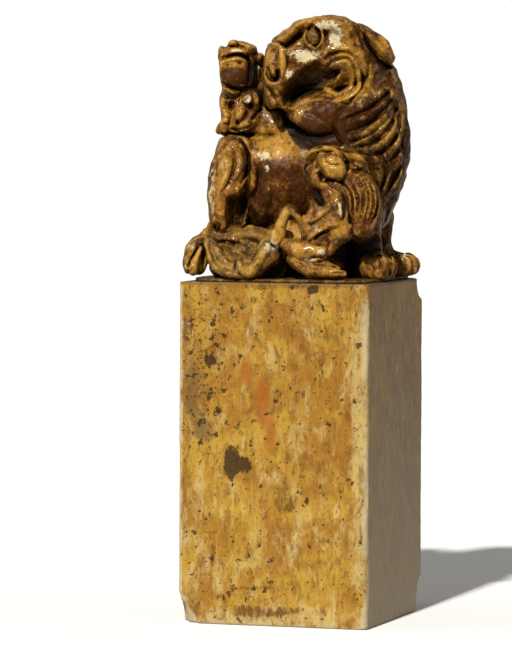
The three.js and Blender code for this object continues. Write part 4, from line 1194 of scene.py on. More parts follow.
@dataclass(frozen=True)
class Tail:
    """The tail: its root round the haunch, and the fan that lies along the front of the block."""

    left: float = -12.6
    right: float = 0.4
    back_y: float = -8.4
    front_y: float = -14.9
    back_z: float = 7.6
    rim_z: float = 1.7
    crest_z: float = 6.8
    dish: float = 2.3
    thickness: float = 1.7
    ribs: float = 34.0
    rib_height: float = 0.16

    def swing(self, x: Array) -> Array:
        """How far x is from the middle of the fan, from 0 there to 1 at its ends."""
        return np.abs(2 * (x - self.left) / (self.right - self.left) - 1.04)

    def height(self, x: Array, y: Array) -> Array:
        """The fan's height: a slope from the back line to the rim, less the dish, plus fine ribs.

        The rim drops in the middle as the swing to a power, the dish is a sine across the slope, and the
        ribs are waves that spread from a point behind the fan.
        """
        swing = self.swing(x)
        rim = self.rim_z + (self.crest_z - self.rim_z) * np.minimum(swing, 1.1) ** 1.7
        rim_y = self.front_y + 2 * swing**2
        v = np.clip((self.back_y - y) / np.maximum(self.back_y - rim_y, 1), 0, 1)
        hollow = self.dish * np.sin(np.pi * v) * np.sqrt(np.clip(1 - swing**2, 0, 1))
        ray = np.arctan2(x - (self.left + self.right) / 2 - 0.5, y - self.back_y - 2.5)
        ribs = self.rib_height * np.cos(self.ribs * ray) * np.sin(np.pi * v)
        return self.back_z + (rim - self.back_z) * v - hollow + ribs

    def outline(self, x: Array, y: Array) -> Array:
        """The distance past the fan's edge: its ends, its back line and its curved rim."""
        swing = self.swing(x)
        rim_y = self.front_y + 2 * swing**2
        ends = np.maximum(self.left - 0.3 - x, x - self.right - 0.3)
        return np.maximum(ends, np.maximum(rim_y - y, y - self.back_y - 0.8))

    def fan(self) -> Region:
        """The dished fan, its rolled rim, and the hooked lock at its right."""
        rim = traced_limb(
            ((206, 239, -12.6, 3.2, 1.0), (207.5, 251, -13.4, 3.2, 1.2), (211.5, 262, -14.0, 3.4, 1.3),
             (217, 269.5, -14.4, 3.8, 1.3), (226, 273.5, -14.6, 4.0, 1.3), (240, 275, -14.6, 4.2, 1.3),
             (252, 273, -14.4, 5.0, 1.3), (261, 265, -14.0, 6.0, 1.3), (269, 255, -13.2, 6.0, 1.2),
             (277, 246, -12.4, 5.0, 1.1)),
            blend=0.7,
        )
        back = traced_limb(
            ((203, 238, -12.2, 4.6, 1.0), (215, 239, -10.4, 4.4, 1.2), (232, 237, -9.6, 4.6, 1.3),
             (250, 234.5, -9.6, 4.8, 1.3), (266, 239, -10.8, 4.8, 1.2), (278, 246, -12.2, 4.4, 1.0)),
            blend=0.9,
        )
        hook = traced_limb(
            ((239, 264, -14.4, 3.2, 1.0), (241, 270.5, -14.9, 4.4, 1.2), (248, 273, -15.1, 5.0, 1.3),
             (255.5, 267.5, -15.0, 5.6, 1.3), (262, 256, -14.6, 6.2, 1.3), (266, 246, -13.8, 6.8, 1.2),
             (271, 239, -13.2, 6.0, 1.0)),
            blend=0.3,
        )
        bed = Limb(
            ((-9.5, -10.5, 2.6, 3.2, 2.2), (-5, -10.6, 2.4, 3.6, 2.0), (-1.5, -10.4, 2.8, 3.2, 2.4)),
            blend=1.0,
        )
        sheet = Sheet(
            self.height, self.outline, (self.left - 0.5, self.front_y, 0.5),
            (self.right + 0.5, self.back_y + 1, 8.6), self.thickness,
        )
        return Region("tail_fan", "stone_tail", (sheet, bed, back, rim, hook))

    def curl(self) -> Region:
        """The hood at the fan's left end, with a band rolled inside it."""
        hood = traced_limb(
            ((206, 240, -12.2, 4.0, 1.2), (199, 241, -12.6, 5.4, 1.5), (193, 247, -12.9, 6.4, 1.6),
             (189.5, 256, -13.1, 6.0, 1.6), (187.5, 264, -13.3, 5.4, 1.5), (188, 270, -13.4, 4.4, 1.3)),
            blend=0.5,
        )
        band = traced_limb(
            ((201, 249, -13.6, 3.0, 1.0), (197, 257, -13.9, 3.8, 1.1), (193.5, 265, -14.1, 4.4, 1.1),
             (194, 272, -14.0, 4.4, 1.0)),
            blend=0.3,
        )
        plate = traced_egg((199, 258), -12.3, 9, 17, 1.5)
        return Region("tail_curl", "stone_tail", (hood, band, plate))

    def root(self) -> Region:
        """The root, which comes round the haunch."""
        root = Limb(((-12.2, 1.5, 9.2, 1.8, 1.8), (-13.2, -2.5, 6, 2, 2), (-13, -7, 4.6, 2, 2),
                     (-11.8, -10.2, 4, 1.7, 1.7)))
        return Region("tail_root", "stone_tail", (root,))

    def strokes(self) -> tuple[Stroke, ...]:
        """The lines in the dish and on the rim."""
        sharp = Profile.SHARP
        return (
            Stroke(0.4, 2.4, ((216, 243), (228, 246), (239, 252), (247, 260)), sharp),
            Stroke(-0.4, 2.4, ((221, 240.5), (233, 243), (244, 249), (252, 257)), sharp),
            Stroke(0.4, 2.4, ((228, 239.5), (240, 241), (250, 246), (257, 254)), sharp),
            Stroke(-0.4, 2.4, ((222, 246), (224, 253), (230, 262)), sharp),
            Stroke(-0.9, 2.8, ((204.5, 250), (203, 262), (205, 274)), sharp, 0.3),
            Stroke(-0.6, 2.2, ((199, 247), (193.5, 256), (189.5, 265), (188.5, 272)), sharp, 0.4),
            Stroke(0.5, 2.6, ((205, 237), (196, 238.5), (189, 244), (185, 253)), taper=0.5),
            Stroke(0.6, 2.8, ((184.5, 264), (187, 269), (191, 267)), taper=0.3),
            Stroke(-0.7, 2.4, ((236, 262), (237, 270), (241, 276)), sharp, 0.3),
            Stroke(-0.5, 2.4, ((244, 264), (251, 264), (257, 255), (260, 243)), sharp, 0.5),
        )

    def figure(self) -> Figure:
        """The tail."""
        under = ((258, 279), (262, 271), (272, 263), (284, 255), (300, 262), (306, 270), (306, 280))
        regions = (self.curl(), self.fan(), self.root())
        return Figure("tail", regions, self.strokes(), (Hollow(2.0, under, 0.8),), fillet=0.25)


@dataclass(frozen=True)
class Rider:
    """The cub that sits on the lion's rump, with its front to the viewer's left."""

    pose: Pose = Pose((-10.4, -1.4, 24.8))

    def regions(self) -> tuple[Region, ...]:
        """Its ears, arms, legs, head and body."""
        head = (
            traced_egg((239, 61), -1.0, 22.5, 23.0, 3.5),
            traced_limb(
                ((235, 60, -3.2, 14.5, 2.1), (234, 69, -3.9, 15.5, 2.3), (234, 79, -3.9, 14.8, 2.2),
                 (235, 85, -3.5, 11.5, 1.8)),
                blend=0.9, square=2.6,
            ),
            traced_egg((233, 44), -2.6, 8.5, 6.5, 1.8),
            traced_egg((250, 49), -2.4, 8.5, 7.5, 1.8),
            traced_egg((252, 76), -1.4, 9.5, 17.0, 2.8),
        )
        body = (
            traced_limb(((240, 90, -1.4, 19, 2.9), (240, 104, -1.4, 22.5, 3.2), (241, 116, -1.5, 23, 3.3),
                         (240, 128, -1.4, 23, 3.2))),
            traced_egg((253, 118), -2.7, 11.5, 11.5, 2.7),
            traced_egg((255, 99), -2.2, 9.5, 11.5, 2.2),
            traced_limb(
                ((258, 63, 0.2, 8, 1.8), (259, 80, 0.2, 9, 2.0), (262, 98, 0.0, 12, 2.4),
                 (270, 112, -0.2, 22, 2.8), (274, 124, -0.4, 26, 3.2), (276, 138, -0.6, 26, 3.2)),
                blend=0.5,
            ),
        )
        left_arm = (traced_limb(((227, 94, -3.4, 5.5, 1.2), (222.5, 102, -4.0, 5.0, 1.2),
                                 (223, 110, -4.4, 4.6, 1.1), (228, 116, -4.6, 4.4, 1.1))),)
        right_arm = (
            traced_limb(((250, 94, -3.2, 5.6, 1.2), (245, 101, -4.4, 5.2, 1.2), (243, 110, -4.6, 5.6, 1.2),
                         (239, 117, -4.6, 4.8, 1.1))),
            traced_egg((247, 99.4), -4.6, 5.0, 5.0, 0.9, 0.3),
        )
        left_leg = (
            traced_limb(((230, 112, -3.6, 5.0, 1.2), (226, 120, -4.2, 5.4, 1.3),
                         (222.5, 129, -4.6, 6.6, 1.4))),
            *(traced_egg((217.5 + 4.2 * k, 131.5), -5.0, 2.4, 3.6, 1.0, 0.2) for k in range(3)),
        )
        right_leg = (traced_limb(((252, 116, -3.8, 6.5, 1.5), (247, 124, -4.4, 5.4, 1.3),
                                  (240, 129, -4.6, 4.6, 1.1))),)
        left_ear = (traced_egg((220, 54), -1.8, 4.6, 9.0, 1.4), traced_egg((222, 48), -2.0, 4.6, 4.6, 1.3))
        right_ear = (traced_egg((260.5, 58.5), -1.4, 5.5, 7.0, 1.4),)
        parts = {
            "ear_left": left_ear, "ear_right": right_ear, "arm_left": left_arm, "arm_right": right_arm,
            "leg_left": left_leg, "leg_right": right_leg, "head": head, "body": body,
        }
        return tuple(Region(f"rider_{name}", "stone_cub", forms) for name, forms in parts.items())

    def strokes(self) -> tuple[Stroke, ...]:
        """The features of its face, its folds and its toes."""
        sharp = Profile.SHARP
        ring = ((250.8, 99), (249.2, 102.2), (245.8, 102.2), (244.2, 99), (245.8, 96), (249.2, 96),
                (250.8, 99))
        return (
            Stroke(0.8, 4.6, ((229, 43.5), (234, 41.5), (238, 43.5))),
            Stroke(0.6, 3.6, ((240, 43), (245, 44.5))),
            Stroke(-0.6, 2.2, ((238.5, 40), (239, 46)), sharp),
            Stroke(-0.6, 2.4, ((225, 47.5), (233, 46.5), (240, 47), (246, 49)), sharp),
            Stroke(0.7, 4.0, ((226, 52), (233, 50.5), (240, 50.5), (246, 53))),
            Stroke(-1.4, 2.7, ((221.5, 59), (227, 57), (234, 55), (241, 55), (248, 59)), sharp, 0.4),
            Stroke(0.5, 2.4, ((223, 62), (231, 59.5), (240, 59), (248, 63))),
            Stroke(-0.7, 2.2, ((238.5, 63), (241, 63.5)), sharp, 0.2),
            Stroke(-0.6, 2.2, ((226.5, 65), (228.5, 65.5)), sharp, 0.2),
            Stroke(-1.2, 2.4, ((220, 81.5), (226, 85), (234, 88), (242, 90)), sharp, 0.3),
            Stroke(-0.8, 2.4, ((248, 56), (250, 70), (249, 84)), sharp),
            Stroke(-0.6, 2.4, ((256, 62), (257, 74), (256, 86)), sharp),
            Stroke(0.5, 2.6, ((222, 47), (220.8, 58), (220.5, 74))),
            Stroke(0.5, 2.4, ((222, 88), (229, 92), (238, 94.5))),
            Stroke(-0.6, 2.2, ((222, 92), (226, 97), (234, 99), (240, 96)), sharp),
            Stroke(0.7, 2.2, ring, taper=0.0),
            Stroke(-0.5, 2.2, ((241, 94), (241.5, 103), (247, 106.5), (253, 104)), sharp, 0.3),
            Stroke(0.5, 3.0, ((256, 92), (259, 98), (258, 104))),
            Stroke(-0.9, 2.6, ((262, 108), (257, 113.5), (252, 119.5)), sharp, 0.3),
            Stroke(0.6, 4.0, ((240, 108), (241, 113), (238, 118))),
            Stroke(-0.5, 2.2, ((245, 107), (247, 113), (243, 119)), sharp),
            Stroke(-0.9, 2.4, ((231, 129), (240, 130), (249, 127)), sharp, 0.4),
            Stroke(-0.6, 2.4, ((222, 124.5), (230, 124)), sharp),
        )

    def figure(self) -> Figure:
        """The cub on the rump."""
        hollows = (
            Hollow(2.0, ((226, 104), (231, 99.5), (236.5, 102), (236, 109), (231, 115), (226, 110)), 0.7),
            Hollow(2.4, ((234, 120), (240, 119.5), (240.5, 125), (235, 126)), 0.5),
        )
        outline = (
            (216.4, 50), (219, 43.5), (225, 45.8), (229.5, 40.5), (235.6, 38.4), (244, 41.2), (252.5, 42),
            (257.6, 45.6), (260.5, 51), (264.6, 55), (270, 61), (272, 80), (280, 100), (296, 106),
            (302, 122), (304, 138), (262, 140), (248, 136), (230, 137), (217, 137), (213.6, 130),
            (215.5, 123), (220.4, 121), (220, 113), (217.6, 105), (217, 98), (217.8, 80), (217, 64),
        )
        return Figure("rider", self.regions(), self.strokes(), hollows, outline, 0.3)


@dataclass(frozen=True)
class Climber:
    """The cub that climbs at the front, with its head arched back and one arm raised to the flank."""

    def regions(self) -> tuple[Region, ...]:
        """Its head, ear, mane, arm, body, haunch and foot."""
        head = (
            traced_egg((331, 166), -10.4, 21, 18.5, 3.3),
            traced_limb(
                ((324, 160, -12.8, 8, 1.3), (333, 164, -13.2, 10, 1.5), (341, 171, -12.8, 7, 1.2)),
                blend=0.4,
            ),
            traced_limb(((312, 172, -11.4, 7, 1.8), (318, 181, -12.0, 7, 1.8), (327, 187, -12.0, 7, 1.6))),
            traced_limb(
                ((308, 180, -10.6, 4.0, 1.3), (306, 168, -10.9, 4.4, 1.3), (308, 157, -11.3, 5.0, 1.4),
                 (315, 151, -11.7, 5.4, 1.5), (325, 149, -11.9, 5.4, 1.6), (337, 152, -11.8, 5.2, 1.5),
                 (346, 158, -11.2, 4.6, 1.4)),
                blend=0.35,
            ),
            traced_egg((338, 173), -12.6, 9, 8, 1.4),
        )
        ear = (
            traced_limb(((345, 155, -11.2, 5.0, 1.4), (354, 157, -11.8, 6.5, 1.6),
                         (362, 162, -11.6, 6.0, 1.5), (366, 168, -11.0, 4.5, 1.3))),
            traced_egg((354, 167), -10.8, 9.0, 6.0, 1.5),
        )
        mane = (traced_limb(
            ((352, 172, -10.4, 13, 2.2), (360, 186, -10.8, 17, 2.4), (364, 202, -11.2, 17, 2.5),
             (364, 218, -11.6, 14, 2.3), (361, 231, -12.0, 8, 1.7)),
            blend=0.8,
        ),)
        body = (
            traced_limb(((334, 182, -10.2, 19, 2.6), (336, 198, -10.6, 21, 3.0), (334, 214, -11.2, 24, 3.0),
                         (330, 230, -11.8, 24, 2.9), (322, 246, -12.2, 20, 2.5))),
            traced_limb(((312, 204, -11.4, 7, 1.5), (310, 218, -12.2, 9, 1.8), (311, 232, -12.6, 9, 1.8))),
        )
        arm = (traced_limb(((306, 241, -12.8, 4.0, 1.2), (303.5, 229, -12.6, 4.2, 1.2),
                            (298, 217, -12.5, 4.8, 1.3), (290, 209.5, -12.4, 6.6, 1.5),
                            (283.5, 217, -12.8, 6.4, 1.5), (279, 228, -13.1, 7.4, 1.6),
                            (275, 240, -13.4, 8.4, 1.6))),)
        haunch = (
            traced_limb(((286, 246, -12.6, 6.5, 1.6), (297, 249, -13.0, 10.5, 2.1),
                         (309, 252, -13.5, 12.5, 2.5), (320, 254, -13.8, 9.0, 2.1))),
            traced_egg((321, 252), -14.6, 6.0, 6.0, 1.3),
        )
        foot = (
            traced_limb(((291, 260, -13.4, 5.0, 1.3), (302, 267, -14.0, 7.5, 1.6),
                         (317, 271.5, -14.3, 7.8, 1.6), (334, 272.5, -14.4, 6.4, 1.5))),
            traced_egg((318, 266), -12.6, 26, 9, 2.0),
            *(traced_egg((337 + 3.6 * k, 273.5), -14.6 + 0.5 * k, 4.5, 3.6, 0.9, 0.2) for k in range(3)),
        )
        parts = {
            "ear": ear, "head": head, "mane": mane, "arm": arm, "foot": foot, "haunch": haunch,
            "body": body,
        }
        return tuple(Region(f"climber_{name}", "stone_cub", forms) for name, forms in parts.items())

    def strokes(self) -> tuple[Stroke, ...]:
        """Its face, the strands of its mane, its ribs and its toes."""
        sharp = Profile.SHARP
        strands = (
            ((350, 174), (358, 176), (364, 184), (367, 195), (366, 208), (363, 220), (360, 232)),
            ((362, 177), (368, 185), (371, 195), (371, 206), (368, 218)),
            ((368, 178), (374, 188), (376, 198), (375, 209), (371, 221)),
            ((374, 183), (380, 193), (380.5, 205), (377, 217), (371, 229)),
            ((345, 182), (352, 190), (355, 200), (354.5, 212), (356, 224)),
            ((351, 180), (357.5, 189), (360.5, 200), (359, 211), (357, 222)),
            ((332, 181), (342, 186), (349, 194), (351, 205), (350, 216), (355, 227)),
            ((324, 184), (335, 190), (342, 198), (346, 209), (348, 221), (354, 231)),
        )
        lines = (
            ((356, 179), (361.5, 187), (364, 198), (362.5, 211), (360, 222)),
            ((364, 181), (368.5, 193), (368.5, 206), (365, 219)),
            ((370, 184), (373.5, 196), (373, 208), (369.5, 221)),
            ((376, 190), (378, 201), (376, 213), (371, 224)),
            ((348, 181), (354.5, 190), (357.8, 201), (357, 213)),
            ((340, 182), (349, 190), (352.8, 201), (352.5, 214)),
            ((329, 184.5), (339, 190.5), (345.5, 200), (348.5, 213), (352, 225)),
        )
        return (
            *(Stroke(0.45, 2.0, points) for points in strands),
            *(Stroke(-0.55, 1.9, points, sharp, 0.4) for points in lines),
            # The rim of its head, and the hollow under it.
            Stroke(-1.5, 5.2, ((308, 172), (309, 163), (313, 157.5)), taper=0.3),
            Stroke(-0.5, 2.2, ((312, 160), (320, 155.5), (328, 153.5), (337, 155)), sharp),
            Stroke(0.5, 3.6, ((306, 158), (311, 152), (318, 148.5), (326, 147), (335, 149))),
            # The face.
            Stroke(-0.6, 2.2, ((326, 161.5), (332, 165.5), (340, 165)), sharp, 0.3),
            Stroke(-0.8, 2.4, ((316, 164), (318.5, 168)), sharp, 0.2),
            Stroke(-0.6, 2.2, ((319, 172), (322, 178), (321, 183)), sharp, 0.3),
            Stroke(0.5, 3.4, ((325, 170), (328, 175), (334, 178))),
            Stroke(0.4, 3.0, ((314, 172), (317, 178), (318, 183))),
            Stroke(-0.7, 2.4, ((322, 183), (328, 180.5), (335, 180), (343, 181)), sharp),
            Stroke(-0.7, 2.4, ((343, 155), (347, 163), (347, 172)), sharp),
            Stroke(-0.6, 2.4, ((349, 170), (356, 171), (364, 168)), sharp),
            Stroke(0.5, 3.0, ((350, 154), (358, 156), (365, 162))),
            Stroke(-0.5, 2.2, ((350, 160), (357, 162), (364, 166)), sharp),
            # The shoulder, the ribs and the belly.
            Stroke(0.7, 2.6, ((338, 201), (340.5, 208), (341, 217)), taper=0.4),
            Stroke(-0.7, 2.2, ((343.5, 200), (345.5, 209), (344.5, 219)), sharp, 0.4),
            Stroke(-0.5, 2.4, ((320, 190), (328, 196), (333, 205)), sharp),
            Stroke(0.5, 2.4, ((307, 223), (316, 218.5), (325, 211.5), (331, 207)), taper=0.4),
            Stroke(-0.4, 2.2, ((308, 227), (318, 222), (328, 214)), sharp),
            Stroke(0.8, 2.6, ((309, 239), (316, 233.5), (323, 229.5), (329, 226), (337, 225)), taper=0.4),
            Stroke(-0.9, 3.0, ((314, 240), (320, 234), (329, 230.5)), sharp, 0.5),
            Stroke(-0.5, 2.4, ((324, 238), (329, 243), (328, 250)), sharp),
            # The haunch, the hock and the toes.
            Stroke(-0.5, 2.4, ((288, 240), (300, 240), (312, 243), (324, 248)), sharp),
            Stroke(-0.8, 2.4, ((312, 258), (319, 256.5), (325, 259)), sharp, 0.4),
            Stroke(-0.5, 2.2, ((322, 265), (331, 268), (338, 267)), sharp),
            Stroke(-0.5, 2.2, ((333, 273), (340, 273.5), (345, 273)), sharp, 0.3),
            Stroke(-0.4, 2.2, ((300, 262), (309, 268), (320, 271)), sharp),
        )

    def figure(self) -> Figure:
        """The climbing cub."""
        armpit = ((311, 182), (319, 187), (323, 193), (326, 202), (325, 207), (320, 207), (314, 200))
        hollows = (
            Hollow(2.2, armpit, 0.6),
            Hollow(1.2, ((308, 158), (314, 155.5), (316, 162), (313.5, 170), (308.5, 172)), 0.6),
        )
        outline = (
            (302.6, 172), (303, 160), (305, 154), (309, 149.6), (314, 146.2), (320, 144.4), (327, 143.8),
            (334, 145.6), (340, 148.6), (350, 152), (357, 151), (364, 155), (368.6, 164), (369, 173),
            (376, 181.6), (382, 190), (383, 200), (384.6, 208), (382, 216), (377, 226.6), (375, 233),
            (369, 236), (361, 238), (352, 241), (342, 246), (334, 254), (328, 262), (340, 266.5),
            (348.6, 268), (349.6, 279), (316, 283), (302, 279), (288, 270), (283, 258), (262, 242),
            (262, 234), (272, 221), (282, 205), (290, 199), (299, 205), (306, 217), (309, 205), (309, 186),
        )
        return Figure("climber", self.regions(), self.strokes(), hollows, outline, 0.3)


def patches(**rows: Rows) -> tuple[Patch, ...]:
    """Patches from rows of a middle, two half sizes and a strength, under the name of their paint."""
    return tuple(Patch(paint, *row) for paint, group in rows.items() for row in group)


def areas(**rows: Sequence[tuple[float, float, Sequence[Pixel]]]) -> tuple[Area, ...]:
    """Areas from rows of a strength, a softness and an outline, under the name of their paint."""
    return tuple(Area(paint, *row) for paint, group in rows.items() for row in group)


PATCHES = patches(
    # The crust patches are chalky crust, and painted glints on the brows, knobs, ridges and the haunch's
    # left edge.
    crust=(
        (304, 55, 18, 7), (289, 75, 4, 6), (336, 36, 9, 12), (325, 24, 12, 6), (237, 51, 6, 3, 1.1),
        (247.5, 99, 4.5, 4.5, 1.3), (322, 253, 5, 5, 0.9), (311, 261, 8, 3), (406, 256, 4, 3, 0.8),
        (270, 246, 6, 7, 1.2), (340, 209, 3, 9, 0.9), (267, 168, 3, 5, 0.8), (214, 232, 8, 4, 0.6),
        (322, 231, 8, 2, 0.7), (259, 67, 2.5, 4, 0.9), (277, 247, 3, 4), (264, 155, 9, 5, 0.8),
        (212, 190, 4, 30, 0.75), (192, 246, 6, 4, 0.6),
    ),
    # The gold patches are golden stone, and painted highlights on lit tops such as the saddle and the
    # rider's brow.
    gold=(
        (333, 165, 14, 11, 1.2), (359, 157, 7, 4, 0.8), (306, 250, 18, 11, 0.75), (341, 228, 8, 10, 0.9),
        (226, 172, 7, 24, 0.8), (216, 196, 7, 26, 0.6), (252, 180, 4, 14, 0.7), (232, 64, 10, 5, 0.8),
        (241, 113, 6, 6, 0.9), (381, 49, 6, 12, 0.9), (282, 62, 4, 14, 1.1), (268, 60, 5, 12, 0.4),
        (272, 137, 24, 16, 0.5), (272, 153, 22, 7, 0.8), (284, 220, 7, 16, 0.7), (330, 92, 5, 5, 0.8),
        (248, 180, 4, 12, 0.5), (358, 85, 7, 16, 0.5), (400, 128, 5, 22, 0.5), (380, 122, 12, 8, 0.5),
        (386, 138, 9, 9, 0.4), (250, 271, 8, 7, 1.1), (262, 259, 6, 8), (197, 258, 5, 12, 0.8),
        (322, 273, 24, 5, 0.35), (386, 262, 10, 7, 0.3), (408, 258, 7, 7, 0.2), (330, 18, 30, 7, 0.5),
        (276, 44, 9, 4, 0.6), (300, 24, 12, 6, 0.3), (257, 97, 6, 7, 0.7), (303, 110, 14, 7, 0.5),
        (345, 103, 14, 5, 0.3), (297, 232, 7, 9, 0.7), (238, 46, 14, 6, 1.0), (322, 149, 18, 5, 1.0),
        (227, 119, 6, 5, 0.6), (348, 80, 12, 26, 0.4), (194, 258, 6, 14, 0.9), (232, 56, 10, 4, 0.4),
        (210, 60, 4, 8, 0.3), (300, 82, 3, 4, 0.2), (345, 35, 14, 16, 0.4), (336, 92, 9, 5, 0.6),
    ),
    # The dark patches are dark stone on the climber's face, and painted shade by the near forepaw and
    # behind the ear.
    dark=(
        (380, 268, 14, 9, 0.5), (321, 173, 5, 6, 0.7), (382, 74, 11, 15, 0.9),
    ),
    rust=(
        (250, 114, 6, 6, 0.8), (235, 150, 6, 6, 0.8), (260, 230, 14, 6, 0.8), (278, 186, 22, 20, 0.6),
        (352, 167, 6, 4), (390, 209, 8, 8, 0.6), (228, 50, 4, 5, 0.7), (219, 130, 5, 5, 0.8),
        (321, 179, 4, 4, 0.7), (379, 195, 4, 10, 0.6), (216, 222, 6, 6, 0.6), (344, 238, 7, 6, 0.5),
        (247, 180, 4, 14, 0.8), (325, 240, 10, 6, 0.6), (352, 190, 8, 16, 0.5), (340, 150, 8, 4, 0.7),
        (225, 205, 6, 12, 0.6),
    ),
)
AREAS = areas(
    coarse=(
        (1.0, 1.0, ((249, 164), (262, 162), (280, 160), (302, 163), (308, 184), (310, 204), (300, 216),
                    (286, 222), (268, 236), (250, 234), (248, 200))),
        (0.5, 0.6, ((286, 48), (322, 46), (326, 62), (300, 72), (286, 66))),
    ),
    # Painted shade: in the mouth, under the jaw and on the throat, in the void under the chest, in the pit
    # by the haunch, under the fan, round the climber's head and in its armpit, on the rider's far side,
    # behind the ear and beside the climber's mane.
    soot=(
        (0.8, 0.35, MOUTH),
        (1.0, 0.5, ((281, 108), (286, 116), (291, 123), (300, 131), (312, 139), (326, 144), (322, 148),
                    (310, 152), (299, 150), (291, 141), (284, 126))),
        (1.0, 0.5, ((346, 238), (358, 238), (368, 236), (378, 232), (386, 243), (384, 250), (374, 256),
                    (364, 261), (357, 268), (353, 280), (345, 280), (346, 268), (334, 262), (330, 256))),
        (0.6, 0.5, ((228, 193), (238, 195), (247, 191), (250, 205), (249, 218), (247, 231), (232, 231),
                    (226, 226))),
        (1.0, 0.4, ((256, 279), (262, 270), (272, 262), (284, 256), (292, 262), (304, 271), (308, 280))),
        (0.8, 0.4, ((303, 172), (304, 163), (309, 158), (315, 158), (315, 168), (311, 182), (320, 190),
                    (326, 203), (324, 208), (316, 206), (309, 192), (304, 182))),
        (0.7, 0.5, ((249, 60), (254, 62), (257, 74), (256, 88), (262, 92), (266, 104), (262, 108),
                    (256, 100), (249, 92))),
        (0.6, 0.8, ((376, 60), (392, 62), (396, 74), (392, 88), (382, 92), (370, 96), (372, 80))),
        (0.7, 0.6, ((380, 212), (392, 212), (392, 246), (382, 244), (384, 228))),
        (0.5, 1.0, ((300, 130), (322, 127), (348, 130), (362, 140), (352, 152), (318, 150), (306, 142))),
    ),
    # The dark areas are dark stone, as on the flank, and painted shade on the rider's far side and the
    # underside of its face, on and under the lower jaw and on the mane's right side.
    dark=(
        (0.8, 0.8, ((222, 68), (246, 66), (248, 82), (242, 90), (226, 85))),
        (1.0, 0.5, ((247, 56), (262, 60), (262, 70), (258, 90), (248, 90))),
        (0.7, 0.6, ((246, 106), (262, 106), (252, 121), (244, 120))),
        (0.35, 0.6, ((314, 240), (320, 234), (331, 231), (334, 242), (329, 252), (322, 246))),
        (0.9, 1.2, ((250, 166), (262, 164), (276, 161), (300, 163), (306, 180), (312, 200), (302, 214),
                    (286, 222), (266, 226), (250, 224), (249, 195))),
        (1.3, 1.0, ((300, 116), (314, 105), (334, 103), (352, 107), (360, 128), (350, 144), (330, 146),
                    (310, 139), (299, 129))),
        (0.5, 1.5, ((352, 150), (384, 150), (400, 130), (412, 130), (411, 170), (398, 198), (384, 204),
                    (376, 190))),
        (0.8, 1.0, ((352, 104), (368, 94), (392, 92), (392, 108), (350, 140), (346, 124))),
        (0.5, 0.8, ((286, 84), (300, 62), (328, 56), (316, 64), (296, 76), (284, 92))),
        (0.15, 0.8, ((346, 176), (382, 186), (384, 214), (372, 236), (352, 232), (350, 206))),
        (0.5, 0.8, ((352, 20), (366, 26), (372, 44), (386, 60), (374, 64), (358, 48))),
        (0.4, 0.6, ((292, 206), (301, 211), (309, 240), (302, 241), (297, 224))),
    ),
    gold=(
        (0.5, 1.0, ((332, 46), (352, 42), (368, 54), (374, 76), (370, 98), (352, 104), (338, 100),
                    (352, 92), (357, 80), (350, 62), (336, 58))),
        (0.8, 0.6, ((283, 208), (290, 206), (294, 210), (288, 222), (284, 243), (266, 242), (270, 230),
                    (278, 220))),
        (0.35, 0.8, ((262, 112), (284, 110), (290, 124), (300, 140), (296, 152), (262, 150), (246, 140),
                     (252, 124))),
    ),
    rust=(
        (0.5, 1.0, ((300, 116), (314, 105), (334, 103), (352, 107), (360, 128), (330, 146), (299, 129))),
    ),
)
PAINTS = ("crust", "gold", "dark", "rust", "soot", "coarse")


